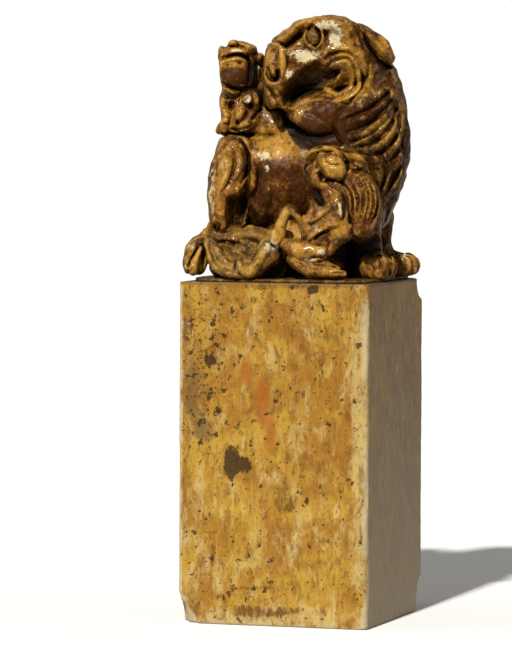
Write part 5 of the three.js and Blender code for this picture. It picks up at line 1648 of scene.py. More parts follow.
class Stone:
    """All the figures joined into one stone on one lattice."""

    LOW = (-17.6, -17.2, 0.0)
    HIGH = (18.4, 17.2, 45.2)
    # Where two figures meet: the fillet, and the depth and half width of the line carved along it.
    FILLET = 0.3
    LINE_DEPTH = 0.28
    LINE_WIDTH = 0.45
    # The radius within which a point's shade is taken, and the levels at which its curvature is read.
    SHADE_REACH = 2.4
    NEAR = (0.35, 0.7, 1.4)

    def __init__(self, figures: Sequence[Figure]) -> None:
        """Joins the figures: each meets the others in a small fillet with a carved line in it."""
        drawn = self.drawn = Drawing()
        self.insides = [drawn.inside(area.outline) for area in AREAS]
        self.figures = figures
        self.lowest = Lump(self.LOW, self.HIGH)
        second = self.lowest.values.copy()
        self.owner = np.full(second.shape, 255, np.uint8)
        self.fields: list[tuple[Lump, list[Lump]]] = []
        for index, figure in enumerate(figures):
            field, parts = figure.field(drawn)
            self.fields.append((field, parts))
            mine = self.lowest.window(field.first, field.last)
            values = field.values[field.window(self.lowest.first, self.lowest.last)]
            held = self.lowest.values[mine]
            second[mine] = np.minimum(second[mine], np.maximum(held, values))
            self.owner[mine] = np.where(values < held, index, self.owner[mine])
            self.lowest.values[mine] = np.minimum(held, values)
            LOG.info("%s: %d regions", figure.name, len(parts))
        self.second = second
        gap = second - self.lowest.values
        line = self.LINE_DEPTH * np.exp(-((gap / self.LINE_WIDTH) ** 2))
        joined = fillet_join(self.lowest.values, second, self.FILLET) + line
        self.whole = self.lowest.part(self.lowest.first, self.lowest.last)
        self.whole.values = (joined + self.tool_marks()).astype(np.float32)
        self.shade = self.blurred(self.whole.values < 0, self.SHADE_REACH)

    def tool_marks(self, amount: float = 0.035, waves: int = 10) -> Array:
        """A slight unevenness: a sum of waves of 1.5 to 5 mm in random directions."""
        random = np.random.default_rng(7)
        place = self.lowest.axes()
        total = np.zeros(self.lowest.values.shape, np.float32)
        for _ in range(waves):
            way = unit(random.normal(size=3)) * 2 * math.pi / random.uniform(1.5, 5)
            phase = np.float32(random.uniform(0, 2 * math.pi))
            total += np.sin(component(place, way) + phase)
        return total * amount

    def blurred(self, solid: Array, radius: float) -> Lump:
        """How full of stone the space round each lattice point is: two running means along each axis."""
        reach = max(1, round(radius / STEP))
        values = solid.astype(np.float32)
        for axis in (0, 1, 2, 0, 1, 2):
            values = np.moveaxis(values, axis, 0)
            before, after = np.repeat(values[:1], reach + 1, 0), np.repeat(values[-1:], reach, 0)
            padded = np.concatenate([before, values, after])
            total = np.cumsum(padded, axis=0, dtype=np.float32)
            width = 2 * reach + 1
            values = np.moveaxis((total[width:] - total[:-width]) / width, 0, axis)
        lump = self.lowest.part(self.lowest.first, self.lowest.last)
        lump.values = np.ascontiguousarray(values, np.float32)
        return lump

    def region_field(self, index: int, number: int) -> Lump:
        """The field of one region: the whole stone, which dives where another region takes over."""
        figure_field, parts = self.fields[index]
        own = parts[number]
        grown = own.part(
            np.maximum(own.first - 1, self.whole.first),
            np.minimum(own.last + 1, self.whole.last),
        )
        rest = grown.part(grown.first, grown.last)
        rest.values[:] = FAR
        for other, part in enumerate(parts):
            if other != number:
                rest.join(part, 0)
        lead = grown.values - rest.values
        window = self.whole.window(grown.first, grown.last)
        mine = figure_field.part(grown.first, grown.last).values
        lowest, second = self.lowest.values[window], self.second[window]
        others = np.where(self.owner[window] == index, second, lowest)
        dive = np.maximum(0, np.maximum(lead, mine - others))
        z = grown.axes()[2]
        above_ledge = LEDGE_TOP - 0.12 - z
        grown.values = np.maximum(self.whole.values[window] + dive, above_ledge).astype(np.float32)
        # The outermost layer is kept outside the stone, so that the surface closes within the box.
        for axis in range(3):
            layers = np.moveaxis(grown.values, axis, 0)
            for values in (layers[:1], layers[-1:]):
                values[:] = np.maximum(values, 0.01)
        return grown

    def attributes(self, points: Array) -> dict[str, Array]:
        """What the finish reads at each point: how hollow, how sharp, how shut in, and the paints."""
        slopes = self.whole.slope(points)
        normal = slopes / np.maximum(np.linalg.norm(slopes, axis=1), 1e-6)[:, None]
        near, count = self.NEAR, len(self.NEAR)
        # Hollow and shut in are read by the finish as painted shade, and sharp as a painted highlight.
        hollow = sum(np.clip(1 - self.whole.at(points + normal * h) / h, 0, 1) for h in near) / count
        sharp = sum(np.clip(1 + self.whole.at(points - normal * h) / h, 0, 1) for h in near) / count
        shut = self.shade.at(points + normal * 1.8)
        px, py, _ = PHOTO.project(*points.T)
        facing = np.clip(normal @ PHOTO.axes()[2] + 0.45, 0, 1)
        paints = {name: np.zeros(len(points)) for name in PAINTS}
        # The paints hold stains and colours of the stone, and also painted shade, highlights and glints.
        for patch in PATCHES:
            paints[patch.paint] += patch.cover(px, py) * facing
        for area, inside in zip(AREAS, self.insides):
            cover = ramp(self.drawn.look_up(inside, px, py), -area.soft, area.soft)
            paints[area.paint] += area.strength * cover * facing
        return {"hollow": hollow, "sharp": sharp, "shut": shut, **paints}


def make_piece(name: str, points: Array, faces: Array, smooth: bool = True) -> bpy.types.Object:
    """A mesh object of the object's frame.

    Args:
        name: The object's name.
        points: Points in millimetres, in the object's frame.
        faces: Rows of point numbers, all of one length.
        smooth: Whether it is shaded smooth.

    Returns:
        The object, linked to the scene.
    """
    mesh = bpy.data.meshes.new(name)
    sides = faces.shape[1]
    mesh.vertices.add(len(points))
    mesh.vertices.foreach_set("co", (points * MM).astype(np.float32).ravel())
    mesh.loops.add(faces.size)
    mesh.loops.foreach_set("vertex_index", faces.astype(np.int32).ravel())
    mesh.polygons.add(len(faces))
    mesh.polygons.foreach_set("loop_start", np.arange(0, faces.size, sides, dtype=np.int32))
    mesh.polygons.foreach_set("use_smooth", np.full(len(faces), smooth))
    mesh.update(calc_edges=True)
    mesh.validate()
    piece = bpy.data.objects.new(name, mesh)
    bpy.context.scene.collection.objects.link(piece)
    return piece


def set_attributes(piece: bpy.types.Object, values: dict[str, Array]) -> None:
    """Stores a number for each point under each name."""
    for name, numbers in values.items():
        layer = piece.data.attributes.new(name, "FLOAT", "POINT")
        layer.data.foreach_set("value", np.asarray(numbers, np.float32))


class Value:
    """A shader socket with the operators of arithmetic."""

    def __init__(self, nodes: "Nodes", socket: bpy.types.NodeSocket) -> None:
        """Wraps a socket."""
        self.nodes = nodes
        self.socket = socket

    def math(self, operation: str, *others: "Value | float") -> "Value":
        """A Math node of this value and others."""
        inputs = dict(enumerate((self, *others)))
        node = self.nodes.make("ShaderNodeMath", {"operation": operation}, inputs)
        return Value(self.nodes, node.outputs[0])

    def __add__(self, other: "Value | float") -> "Value":
        """The sum."""
        return self.math("ADD", other)

    __radd__ = __add__

    def __mul__(self, other: "Value | float") -> "Value":
        """The product."""
        return self.math("MULTIPLY", other)

    __rmul__ = __mul__

    def __sub__(self, other: "Value | float") -> "Value":
        """The difference."""
        return self.math("SUBTRACT", other)

    def __rsub__(self, other: float) -> "Value":
        """A number less this value."""
        return self * -1.0 + other

    def least(self, other: "Value | float") -> "Value":
        """The lesser of two values."""
        return self.math("MINIMUM", other)

    def most(self, other: "Value | float") -> "Value":
        """The greater of two values."""
        return self.math("MAXIMUM", other)

    def held(self) -> "Value":
        """The value kept between 0 and 1."""
        return self.most(0.0).least(1.0)

    def rise(self, start: float, end: float) -> "Value":
        """A smooth rise from 0 at start to 1 at end, or a fall when start is the greater."""
        settings = {"interpolation_type": "SMOOTHSTEP"}
        falls = float(start > end)
        inputs = {0: self, 1: min(start, end), 2: max(start, end), 3: falls, 4: 1.0 - falls}
        return Value(self.nodes, self.nodes.make("ShaderNodeMapRange", settings, inputs).outputs[0])


Colour = tuple[float, float, float]


class Nodes:
    """A material's node tree, and the ways to add to it."""

    def __init__(self, name: str) -> None:
        """A new material with an empty tree."""
        self.material = bpy.data.materials.new(name)
        self.material.use_nodes = True
        self.tree = self.material.node_tree
        self.tree.nodes.clear()
        place = self.make("ShaderNodeTexCoord", {}, {})
        self.place = place.outputs["Object"]

    def make(self, kind: str, settings: dict[str, Any], inputs: dict[Any, Any]) -> bpy.types.Node:
        """Adds a node: its settings first, then the values or links of its sockets."""
        node = self.tree.nodes.new(kind)
        for name, value in settings.items():
            setattr(node, name, value)
        for key, value in inputs.items():
            socket = node.inputs[key]
            if isinstance(value, Value):
                self.tree.links.new(value.socket, socket)
            elif isinstance(value, bpy.types.NodeSocket):
                self.tree.links.new(value, socket)
            elif isinstance(value, tuple) and len(value) == 3 and socket.type == "RGBA":
                socket.default_value = (*value, 1.0)
            else:
                socket.default_value = value
        return node

    def attribute(self, name: str) -> Value:
        """A number stored at the mesh's points."""
        node = self.make("ShaderNodeAttribute", {"attribute_name": name}, {})
        return Value(self, node.outputs["Fac"])

    def stretched(self, stretch: Point) -> bpy.types.NodeSocket:
        """The place in millimetres, times a factor along each axis."""
        scale = tuple(value / MM for value in stretch)
        node = self.make("ShaderNodeVectorMath", {"operation": "MULTIPLY"}, {0: self.place, 1: scale})
        return node.outputs[0]

    def noise(
        self, size: float, detail: float = 4, rough: float = 0.55, stretch: Point = (1, 1, 1),
        bend: float = 0, seed: float = 0,
    ) -> Value:
        """Cloudy noise.

        Args:
            size: About how many millimetres its features are across.
            detail: How many finer layers it has.
            rough: How strong the finer layers are.
            stretch: A factor on the place along each axis.
            bend: How much it is twisted.
            seed: Which of its patterns is taken.

        Returns:
            The noise, mostly between 0.3 and 0.7.
        """
        node = self.make(
            "ShaderNodeTexNoise", {"noise_dimensions": "4D"},
            {"Vector": self.stretched(stretch), "W": seed, "Scale": 1 / size, "Detail": detail,
             "Roughness": rough, "Distortion": bend},
        )
        return Value(self, node.outputs["Fac"])

    def specks(self, size: float, jitter: float = 1.0, stretch: Point = (1, 1, 1)) -> Value:
        """The distance to the nearest of scattered points, in cells."""
        node = self.make(
            "ShaderNodeTexVoronoi", {},
            {"Vector": self.stretched(stretch), "Scale": 1 / size, "Randomness": jitter},
        )
        return Value(self, node.outputs["Distance"])

    def mix(self, share: Value | float, first: Any, second: Any) -> bpy.types.NodeSocket:
        """A colour between two, by a share from 0 to 1."""
        node = self.make(
            "ShaderNodeMix", {"data_type": "RGBA", "clamp_factor": True}, {0: share, 6: first, 7: second},
        )
        return node.outputs[2]

    def finish(
        self, colour: Any, rough: Value | float, bump: Value, depth: float, coat: Value | float,
        coat_rough: float, shine: float = 0.1,
    ) -> bpy.types.Material:
        """Closes the tree with a waxed stone surface.

        Args:
            colour: The base colour.
            rough: The roughness.
            bump: The height that shapes the light.
            depth: The bump's full height in millimetres.
            coat: The weight of the wax.
            coat_rough: The wax's roughness.
            shine: The stone's own reflection.

        Returns:
            The material.
        """
        bumps = {"Strength": 1.0, "Distance": depth * MM, "Height": bump}
        relief = self.make("ShaderNodeBump", {}, bumps)
        shader = self.make(
            "ShaderNodeBsdfPrincipled", {},
            {"Base Color": colour, "Roughness": rough, "Normal": relief.outputs[0], "Coat Weight": coat,
             "Coat Roughness": coat_rough, "Specular IOR Level": shine},
        )
        self.make("ShaderNodeOutputMaterial", {}, {"Surface": shader.outputs[0]})
        return self.material


@dataclass(frozen=True)
class CarvedStone:
    """Polished soapstone on the carving: amber on the high forms, with a painted highlight on ridges, and
    painted shade, nearly black, in the cuts.

    Attributes:
        name: The material's name.
        base: The body colour.
        deep: The colour in its darker clouds.
        high: The colour on gilded patches, and of the painted highlight on ridges.
        pale: The colour of the chalky crust and of the painted glints, and of its pale streaks.
        rust: The colour of its red veins.
        black: The colour of the painted shade in the deepest cuts.
        coat: The weight of the wax.
    """

    name: str
    base: Colour = (0.25, 0.103, 0.013)
    deep: Colour = (0.046, 0.017, 0.003)
    high: Colour = (0.54, 0.28, 0.037)
    pale: Colour = (0.64, 0.55, 0.34)
    rust: Colour = (0.15, 0.035, 0.009)
    black: Colour = (0.006, 0.003, 0.0015)
    coat: float = 0.7

    def material(self) -> bpy.types.Material:
        """Builds the material."""
        n = Nodes(self.name)
        hollow, sharp, shut = n.attribute("hollow"), n.attribute("sharp"), n.attribute("shut")
        dark, gilt_and_highlight = n.attribute("dark"), n.attribute("gold")
        clouds = n.noise(5.0, 4, 0.6, bend=0.4)
        mottle = n.noise(1.6, 5, 0.68, bend=0.5, seed=3)
        fleck = n.noise(0.55, 4, 0.7, bend=0.2, seed=4)
        grit = n.noise(0.22, 3, 0.6, seed=5)
        grain = n.noise(0.5, 4, 0.6, (1.6, 1.6, 0.45), seed=8)
        proud = shut.rise(0.44, 0.14)
        tone = clouds * 1.2 + mottle * 1.5 + fleck * 0.8 - 1.075
        patchy = mottle * 1.8 + fleck * 1.0 - 0.75
        # The body colour's clouds, lightened on open and sharp forms as painted light and darkened in
        # hollows as painted shade; the dark paint is partly painted shade.
        mask = (tone + proud * 0.2 + gilt_and_highlight * 0.22 + sharp * 0.15 - dark * 0.4 - hollow * 0.3).rise(0.48, 1.2)
        embers = (fleck * 1.2 + grain * 0.8 - 0.5).rise(0.46, 0.66) * 0.55
        colour = n.mix(mask, n.mix(embers, self.deep, self.rust), self.base)
        # Gold on gilded and random patches, and on ridges as a painted highlight; less in hollows as
        # painted shade.
        gold = (gilt_and_highlight * 0.5 + sharp * 0.6 + patchy - dark * 0.35 - hollow * 0.5).rise(0.45, 1.55)
        colour = n.mix(gold * 0.95, colour, self.high)
        streak = n.noise(1.5, 5, 0.7, (1, 1, 0.6), 1.0, 21).rise(0.54, 0.68) * mask
        colour = n.mix(streak * 0.4, colour, self.pale)
        vein = n.noise(0.9, 6, 0.75, (1, 1, 0.7), 1.2, 15).rise(0.49, 0.37)
        colour = n.mix(vein * 0.7, colour, self.deep)
        red = (n.attribute("rust") * (mottle * 0.8 + 0.5)).rise(0.3, 0.95)
        colour = n.mix(red * 0.75, colour, self.rust)
        # Pale chalky crust, with painted glints where the crust paint marks highlights.
        crust = (n.attribute("crust") + mottle * 2.0 + fleck * 2.6 - 2.65 - hollow * 0.5).rise(0.0, 0.6)
        colour = n.mix(crust * 0.92, colour, self.pale)
        pits = n.specks(0.85).rise(0.25, 0.1) * n.noise(3.5, 3, 0.6, seed=12).rise(0.47, 0.6)
        colour = n.mix((pits * 0.8 + grain.rise(0.42, 0.3) * 0.35).held(), colour, self.deep)
        # Painted shade: near black in hollows, in shut-in places and inside the painted shade areas.
        soot = (hollow * 1.35 + shut * 0.8 + mottle * 0.4 - 0.95 + n.attribute("soot") * 1.2).rise(0.0, 0.8)
        colour = n.mix(soot * 0.96, colour, self.black)
        rough = (grit * 0.15 + mottle * 0.2 + crust * 0.35 + hollow * 0.2 + soot * 0.2 + 0.12).held()
        coarse = n.attribute("coarse") * n.noise(0.9, 5, 0.75, (1, 1, 0.5), 0.4, 14)
        height = mottle * 0.7 + grain * 0.4 + fleck * 0.4 + grit * 0.25 - pits * 0.35 + coarse * 1.8
        polish = (mottle * 1.6 - 0.3 - soot * 0.9 - dark * 0.5 - hollow * 0.6).held()
        wax = polish * (mask * 0.85 + 0.15) * self.coat
        return n.finish(colour, rough, height, 0.13, wax, 0.14)


@dataclass(frozen=True)
class BlockStone:
    """The polished block: honey yellow with fine upright streaks, specks and stains, and a painted light
    from the floor low on its right face.

    Attributes:
        name: The material's name.
        base: The body colour.
        pale: The colour of its paler streaks.
        cream: The colour of its palest streaks.
        brown: The colour of its stains.
        speck: The colour of its specks.
        worn: The colour of worn edges, and of the painted light from the floor.
        green: The colour of its olive clouds.
        orange: The colour of its orange clouds.
    """

    name: str
    base: Colour = (0.33, 0.150, 0.017)
    pale: Colour = (0.47, 0.275, 0.034)
    cream: Colour = (0.55, 0.40, 0.14)
    brown: Colour = (0.14, 0.055, 0.009)
    speck: Colour = (0.035, 0.016, 0.005)
    worn: Colour = (0.52, 0.42, 0.24)
    green: Colour = (0.16, 0.088, 0.022)
    orange: Colour = (0.34, 0.10, 0.012)

    def material(self) -> bpy.types.Material:
        """Builds the material."""
        n = Nodes(self.name)
        clouds = n.noise(8.0, 5, 0.62, (1, 1, 0.7), 0.8)
        mottle = n.noise(2.4, 5, 0.68, (1, 1, 0.7), 0.8, 6)
        fine = n.noise(0.45, 3, 0.65, (1, 1, 0.22), 0.2, 4)
        grit = n.noise(0.25, 3, 0.6, seed=7)
        crowd = n.attribute("crowd")
        colour = n.mix((clouds * 2.0 + mottle * 1.0 - 1.5).rise(-0.22, 0.25), self.base, self.pale)
        streak = n.noise(2.6, 5, 0.66, (1, 1, 0.4), 0.8, 16)
        cream = (streak + mottle * 0.3 - 0.15 + n.attribute("cream") * 0.2).rise(0.5, 0.7)
        colour = n.mix(cream * 0.8, colour, self.cream)
        dusk = n.noise(1.5, 5, 0.7, (1, 1, 0.45), 0.8, 17).rise(0.5, 0.34)
        colour = n.mix(dusk * 0.6, colour, self.brown)
        colour = n.mix(fine.rise(0.5, 0.34) * 0.42, colour, self.brown)
        broken = mottle * 3.2 + fine * 1.6 - 2.9
        stain = (n.attribute("stain") * 1.1 + broken).rise(0.0, 0.6)
        colour = n.mix(stain * 0.9, colour, self.brown)
        colour = n.mix((n.attribute("green") * 1.3 + broken).rise(0.0, 0.9) * 0.8, colour, self.green)
        colour = n.mix((n.attribute("orange") * 1.2 + broken).rise(0.0, 1.1) * 0.8, colour, self.orange)
        dots = (n.noise(1.3, 3, 0.62, seed=9) + crowd * 0.05).rise(0.635, 0.665)
        tiny = (n.noise(0.55, 3, 0.6, (1, 1, 0.8), 0, 11) + crowd * 0.04).rise(0.61, 0.65)
        colour = n.mix((dots + tiny * 0.8).held() * 0.88, colour, self.speck)
        colour = n.mix((n.attribute("dark") * 1.2 + broken).rise(0.1, 0.4) * 0.9, colour, self.speck)
        edge = (n.attribute("wear") * 1.2 + mottle * 2.0 + grit * 0.6 - 1.55).rise(0.1, 0.6)
        colour = n.mix(edge * 0.9, colour, self.worn)
        # Painted light from the floor, broken up by the stone's mottle.
        painted_floor_light = (n.attribute("painted_floor_light") * (fine * 1.2 + mottle * 0.8)).held()
        colour = n.mix(painted_floor_light, colour, self.worn)
        height = fine * 0.4 + grit * 0.35 + mottle * 0.7 - dots * 0.5
        rough = (grit * 0.2 + mottle * 0.3 + edge * 0.25 + 0.1).held()
        return n.finish(colour, rough, height, 0.08, 0.18, 0.2, 0.22)


@dataclass(frozen=True)
class Block:
    """The square block: the shaft and its printing face.

    Attributes:
        half: Half the width.
        face: The printing face's thickness.
        edge: The wear of its upright edges.
        front_edge: The wear of the edge at the front right.
        spacing: The grid's spacing.
        border: The width of the printing face's border.
        groove: The width of its grooves.
        pitch: From one turn of a spiral to the next.
        sunk: The depth of its grooves.
        cross: The width of the cross between the spirals.
    """

    half: float = 16.0
    face: float = 1.5
    edge: float = 0.45
    front_edge: float = 1.0
    spacing: float = 0.32
    border: float = 1.8
    groove: float = 1.1
    pitch: float = 2.3
    sunk: float = 0.8
    cross: float = 2.2

    # The height of the faces' waves, how far the faces lie inside the CAD ones, and how far the foot and
    # the top are drawn in, all in millimetres.
    WAVE = 0.05
    INSET = 0.06
    FOOT_ROUND = 0.25
    TOP_ROUND = 0.16

    def square(self) -> Array:
        """Points round the unit square, anticlockwise from the front left and closer at its corners."""
        count = round(2 * self.half / self.spacing)
        t = np.linspace(-1, 1, count, endpoint=False)
        line = np.sin(np.pi / 2 * t) * 0.35 + t * 0.65
        ones = np.ones(count)
        sides = [(line, -ones), (ones, line), (-line, ones), (-ones, -line)]
        return np.vstack([np.stack(side, axis=1) for side in sides])

    @staticmethod
    def waves(values: Array, seed: int, longest: float, count: int = 7) -> Array:
        """A random line, about 1 high: a sum of waves, each shorter and lower than the one before it.

        Args:
            values: Where along the line, in millimetres.
            seed: Which line is taken.
            longest: The longest wave, in millimetres.
            count: How many waves are summed.

        Returns:
            The line's height at each value.
        """
        random = np.random.default_rng(seed)
        total = np.zeros_like(values)
        for k in range(count):
            total += np.sin(values * 2 * np.pi / (longest / 1.7**k) + random.uniform(0, 6.3)) / 1.5**k
        return total / 2

    def worn_edges(self, x: Array, y: Array, z: Array) -> Array:
        """The radius to which the upright edge nearest to each point is worn at its level."""
        wear = np.full_like(x, self.edge)
        edges = ((-1, -1, self.edge), (1, -1, self.front_edge), (1, 1, self.edge), (-1, 1, self.edge))
        for k, (sx, sy, base) in enumerate(edges):
            near = (x * sx > 0) & (y * sy > 0)
            slow, nicks = self.waves(z, 20 + k, 24), self.waves(z, 40 + k, 3)
            line = base * (1 + 0.45 * slow) + 0.12 * np.maximum(0, nicks)
            if (sx, sy) == (1, -1):
                line = line + 0.7 * np.exp(-(((z - 6) / 7) ** 2))
            wear = np.where(near, np.maximum(line, 0.12)[:, None], wear)
        return wear

    def wall(self, z: Array) -> tuple[Array, Array]:
        """Points of the upright faces.

        The square's points are drawn in round each corner to a radius that varies up the edge, the faces
        have a slight wave, and shells are struck off at three corners.

        Args:
            z: The levels, in the object's frame.

        Returns:
            Points with an axis for the levels and one round the square, and how worn each is.
        """
        unit_square = self.square()
        x = unit_square[None, :, 0] * self.half + 0 * z[:, None]
        y = unit_square[None, :, 1] * self.half + 0 * z[:, None]
        level = z[:, None] + 0 * x
        wear = self.worn_edges(x, y, z)
        inner = self.half - wear
        out = np.stack([np.maximum(np.abs(x) - inner, 0), np.maximum(np.abs(y) - inner, 0)])
        size = np.maximum(np.hypot(*out), 1e-6)
        corner = (out[0] > 0) & (out[1] > 0)
        x = np.where(corner, np.sign(x) * (inner + out[0] / size * wear), x)
        y = np.where(corner, np.sign(y) * (inner + out[1] / size * wear), y)
        left_x, left_y = self.half - np.abs(x), self.half - np.abs(y)
        worn = np.exp(-np.minimum(left_x, left_y) / 0.5) * np.exp(-np.maximum(left_x, left_y) / 0.55)
        for sx, sy, foot, bite, wide, tall in self.chips():
            away = np.hypot((x - sx * self.half) / wide, (y - sy * self.half) / wide)
            strike = bite * np.clip(1 - away**2 - ((level - foot) / tall) ** 2, 0, 1) ** 0.8
            strike *= 1 + 0.08 * np.sin(9 * away + level)
            x, y = x - sx * strike, y - sy * strike
            worn = np.maximum(worn, 0.7 * np.clip(strike / bite, 0, 1))
        low_wear = 0.5 * np.exp(-(((level - 8) / 9) ** 2)) + 0.25
        to_edge = np.maximum(self.half - np.abs(x), self.half - np.abs(y))
        worn += (x > 0) * (y < 0) * low_wear * np.exp(-to_edge / 0.6)
        hush = np.clip((self.half - 0.6 - np.minimum(np.abs(x), np.abs(y))) / 3, 0, 1)
        wave = self.WAVE * hush * (np.sin(0.4 * x + 0.21 * level + 1) + np.sin(0.33 * y - 0.17 * level))
        foot_round = self.FOOT_ROUND * np.clip(1 - level / 0.4, 0, 1) ** 2
        top_round = self.TOP_ROUND * np.clip(1 - (BLOCK_TOP - level) / 0.25, 0, 1) ** 2
        shrink = 1 - (self.INSET + wave * 0.5 + foot_round + top_round) / self.half
        foot_worn = np.exp(-level / 0.9) - np.exp(-(BLOCK_TOP - level) / 0.5)
        points = np.stack([x * shrink, y * shrink, level], axis=-1)
        return points, np.clip(worn * 1.3 + 0.75 * foot_worn, 0, 1.5)

    def chips(self) -> tuple[tuple[float, ...], ...]:
        """The shells struck off: corner signs, height of the middle, bite, half width and half height."""
        return ((-1, -1, 0.0, 1.1, 3.2, 3.8), (-1, -1, 3.2, 0.3, 2.0, 2.0), (1, 1, 0.0, 0.9, 3.2, 6.0),
                (1, 1, BLOCK_TOP, 1.1, 3.4, 3.6), (1, -1, 51.0, 0.2, 0.9, 2.6),
                (1, -1, 22.0, 0.15, 0.8, 3.0))

    def fret(self, x: Array, y: Array) -> Array:
        """How deep the printing face is cut, in 0 to 1.

        Each quarter holds a square spiral. Round a square ring the angle goes from 0 to 1, and the groove
        is where the ring's number, less that angle, has a remainder near a half. A cross and the border
        stay whole.
        """
        inner = self.half - self.border
        middle = (inner + self.cross / 2) / 2
        reach = (inner - self.cross / 2) / 2
        u, v = np.abs(x) - middle, np.abs(y) - middle
        ring = np.maximum(np.abs(u), np.abs(v))
        turn = np.arctan2(v, u) / (2 * np.pi) + 0.5
        share = np.mod((reach - ring) / self.pitch - turn, 1.0)
        groove = 0.5 * self.groove / self.pitch
        cut = ramp(groove - np.abs(share - 0.5), 0.0, 0.08)
        return cut * ramp(reach - ring, 0.0, 0.2) * ramp(ring, 0.9, 1.2)

    def cap(self, rim: Array, z: float, rings: int, upward: bool) -> Array:
        """Rings of points that fill a rim, down to a small one in the middle, at a level."""
        share = np.linspace(1, 0.004, rings)[1:, None, None]
        flat = rim[None, :, :2] * share
        level = np.full((*flat.shape[:2], 1), z)
        rows = np.concatenate([flat, level], axis=-1)
        if not upward:
            rows[..., 2] += self.sunk * self.fret(rows[..., 0], rows[..., 1])
        return rows

    @staticmethod
    def closed(rows: Array) -> tuple[Array, Array]:
        """A stack of rings as points and triangles, with a point at each end.

        Args:
            rows: Points with an axis for the rings, from the foot's middle outwards, up, and in again.

        Returns:
            The points and the triangles, facing outwards.
        """
        rings, count = rows.shape[:2]
        points = np.vstack([rows.reshape(-1, 3), rows[0].mean(0)[None], rows[-1].mean(0)[None]])
        number = np.arange(rings * count).reshape(rings, count)
        a, b = number[:-1], np.roll(number[:-1], -1, axis=1)
        c, d = np.roll(number[1:], -1, axis=1), number[1:]
        sides = [np.stack([a, b, c], -1).reshape(-1, 3), np.stack([a, c, d], -1).reshape(-1, 3)]
        foot = np.stack([np.roll(number[0], -1), number[0], np.full(count, rings * count)], -1)
        top = np.stack([number[-1], np.roll(number[-1], -1), np.full(count, rings * count + 1)], -1)
        return points, np.vstack([*sides, foot, top])

    def stains(self, points: Array) -> dict[str, Array]:
        """The stains of the front face, placed where the photograph shows them, a green band at the top,
        and a painted light from the floor that grows towards the foot of the right face.
        """
        facing = np.clip(-points[:, 1] - self.half + 1.5, 0, 1)
        px, py, _ = PHOTO.project(points[:, 0], points[:, 1], points[:, 2] - BLOCK_TOP)
        names = ("stain", "green", "orange", "crowd", "dark", "cream")
        made = {name: np.zeros(len(points)) for name in names}
        for patch in BLOCK_PATCHES:
            made[patch.paint] += patch.cover(px, py) * facing
        made["green"] += 2.0 * np.exp(-(BLOCK_TOP - points[:, 2]) / 0.35)
        # Painted light from the floor: a pale wash on the right face, strongest at its foot.
        right = np.clip(points[:, 0] - self.half + 1.2, 0, 1)
        low = np.clip(1 - points[:, 2] / BLOCK_TOP, 0, 1)
        made["painted_floor_light"] = right * (1 - facing) * 0.95 * low**1.6
        return made

    def piece(self, name: str, stacks: Sequence[tuple[Array, Array | float]]) -> bpy.types.Object:
        """Makes a closed piece from stacks of rings, each with how worn its points are."""
        points, faces = self.closed(np.concatenate([rings for rings, _ in stacks]))
        wear = [np.broadcast_to(worn, rings.shape[:2]).ravel() for rings, worn in stacks]
        made = make_piece(name, points, faces)
        set_attributes(made, {"wear": np.concatenate([*wear, [0, 0]]), **self.stains(points)})
        return made

    def build(self) -> list[bpy.types.Object]:
        """Makes the shaft and the printing face."""
        middle_z = np.arange(self.face + self.spacing, BLOCK_TOP - 0.5, self.spacing)
        top_z = BLOCK_TOP - np.array([0.4, 0.3, 0.2, 0.12, 0.06, 0.035, 0.02])
        shaft_z = np.concatenate([[self.face, self.face + 0.03], middle_z, top_z])
        wall, worn = self.wall(shaft_z)
        foot = self.cap(wall[0], self.face, 6, True)[::-1]
        top = self.cap(wall[-1], BLOCK_TOP, 40, True)
        top[..., 2] = top_z[-1]
        shaft = self.piece("shaft", ((foot, 0.0), (wall, worn), (top, 0.0)))
        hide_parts("seal_shaft")

        face_z = np.array([0.0, 0.03, 0.1, 0.2, 0.35, 0.6, 0.9, 1.2, self.face - 0.03, self.face])
        wall, worn = self.wall(face_z)
        under = self.cap(wall[0], 0.0, 60, False)[::-1]
        lid = self.cap(wall[-1], self.face, 6, True)
        face = self.piece("printing_face", ((under, 0.3), (wall, worn), (lid, 0.0)))
        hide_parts("seal_face")
        return [shaft, face]


BLOCK_PATCHES = patches(
    green=(
        (194, 392, 17, 40), (206, 432, 14, 14, 0.8), (300, 430, 50, 20, 0.3),
    ),
    dark=(
        (209, 361, 7, 7), (232, 462, 10, 18, 1.2), (246, 466, 8, 10), (312, 290, 7, 6, 1.2),
        (218, 410, 5, 6, 0.9), (358, 345, 5, 5, 0.9), (336, 352, 5, 3, 0.7), (306, 494, 9, 4, 0.6),
    ),
    orange=(
        (246, 375, 7, 16), (262, 400, 8, 26), (272, 436, 6, 20), (300, 345, 26, 18, 0.5),
        (248, 350, 12, 40, 0.5), (264, 420, 14, 60, 0.5),
    ),
    stain=(
        (213, 550, 4, 28, 0.8), (262, 612, 50, 8), (345, 580, 12, 40, 0.5), (186, 320, 10, 40, 0.8),
        (186, 470, 9, 80, 0.6), (290, 286, 80, 5, 0.9), (216, 350, 14, 60, 0.5), (330, 330, 28, 16, 0.7),
        (286, 506, 22, 12, 0.8), (262, 588, 44, 3, 0.9), (352, 400, 6, 60, 0.5), (246, 300, 26, 6, 0.7),
        (300, 400, 14, 20, 0.5), (226, 596, 30, 5, 0.6),
    ),
    crowd=(
        (200, 370, 30, 90, 1.3), (270, 310, 70, 24, 0.6), (230, 560, 50, 60, 0.5), (330, 470, 30, 60, 0.3),
    ),
    cream=(
        (362, 440, 12, 170, 1.3), (275, 618, 90, 12, 1.3), (200, 540, 18, 50, 0.5),
        (280, 545, 60, 40, 0.25),
    ),
)


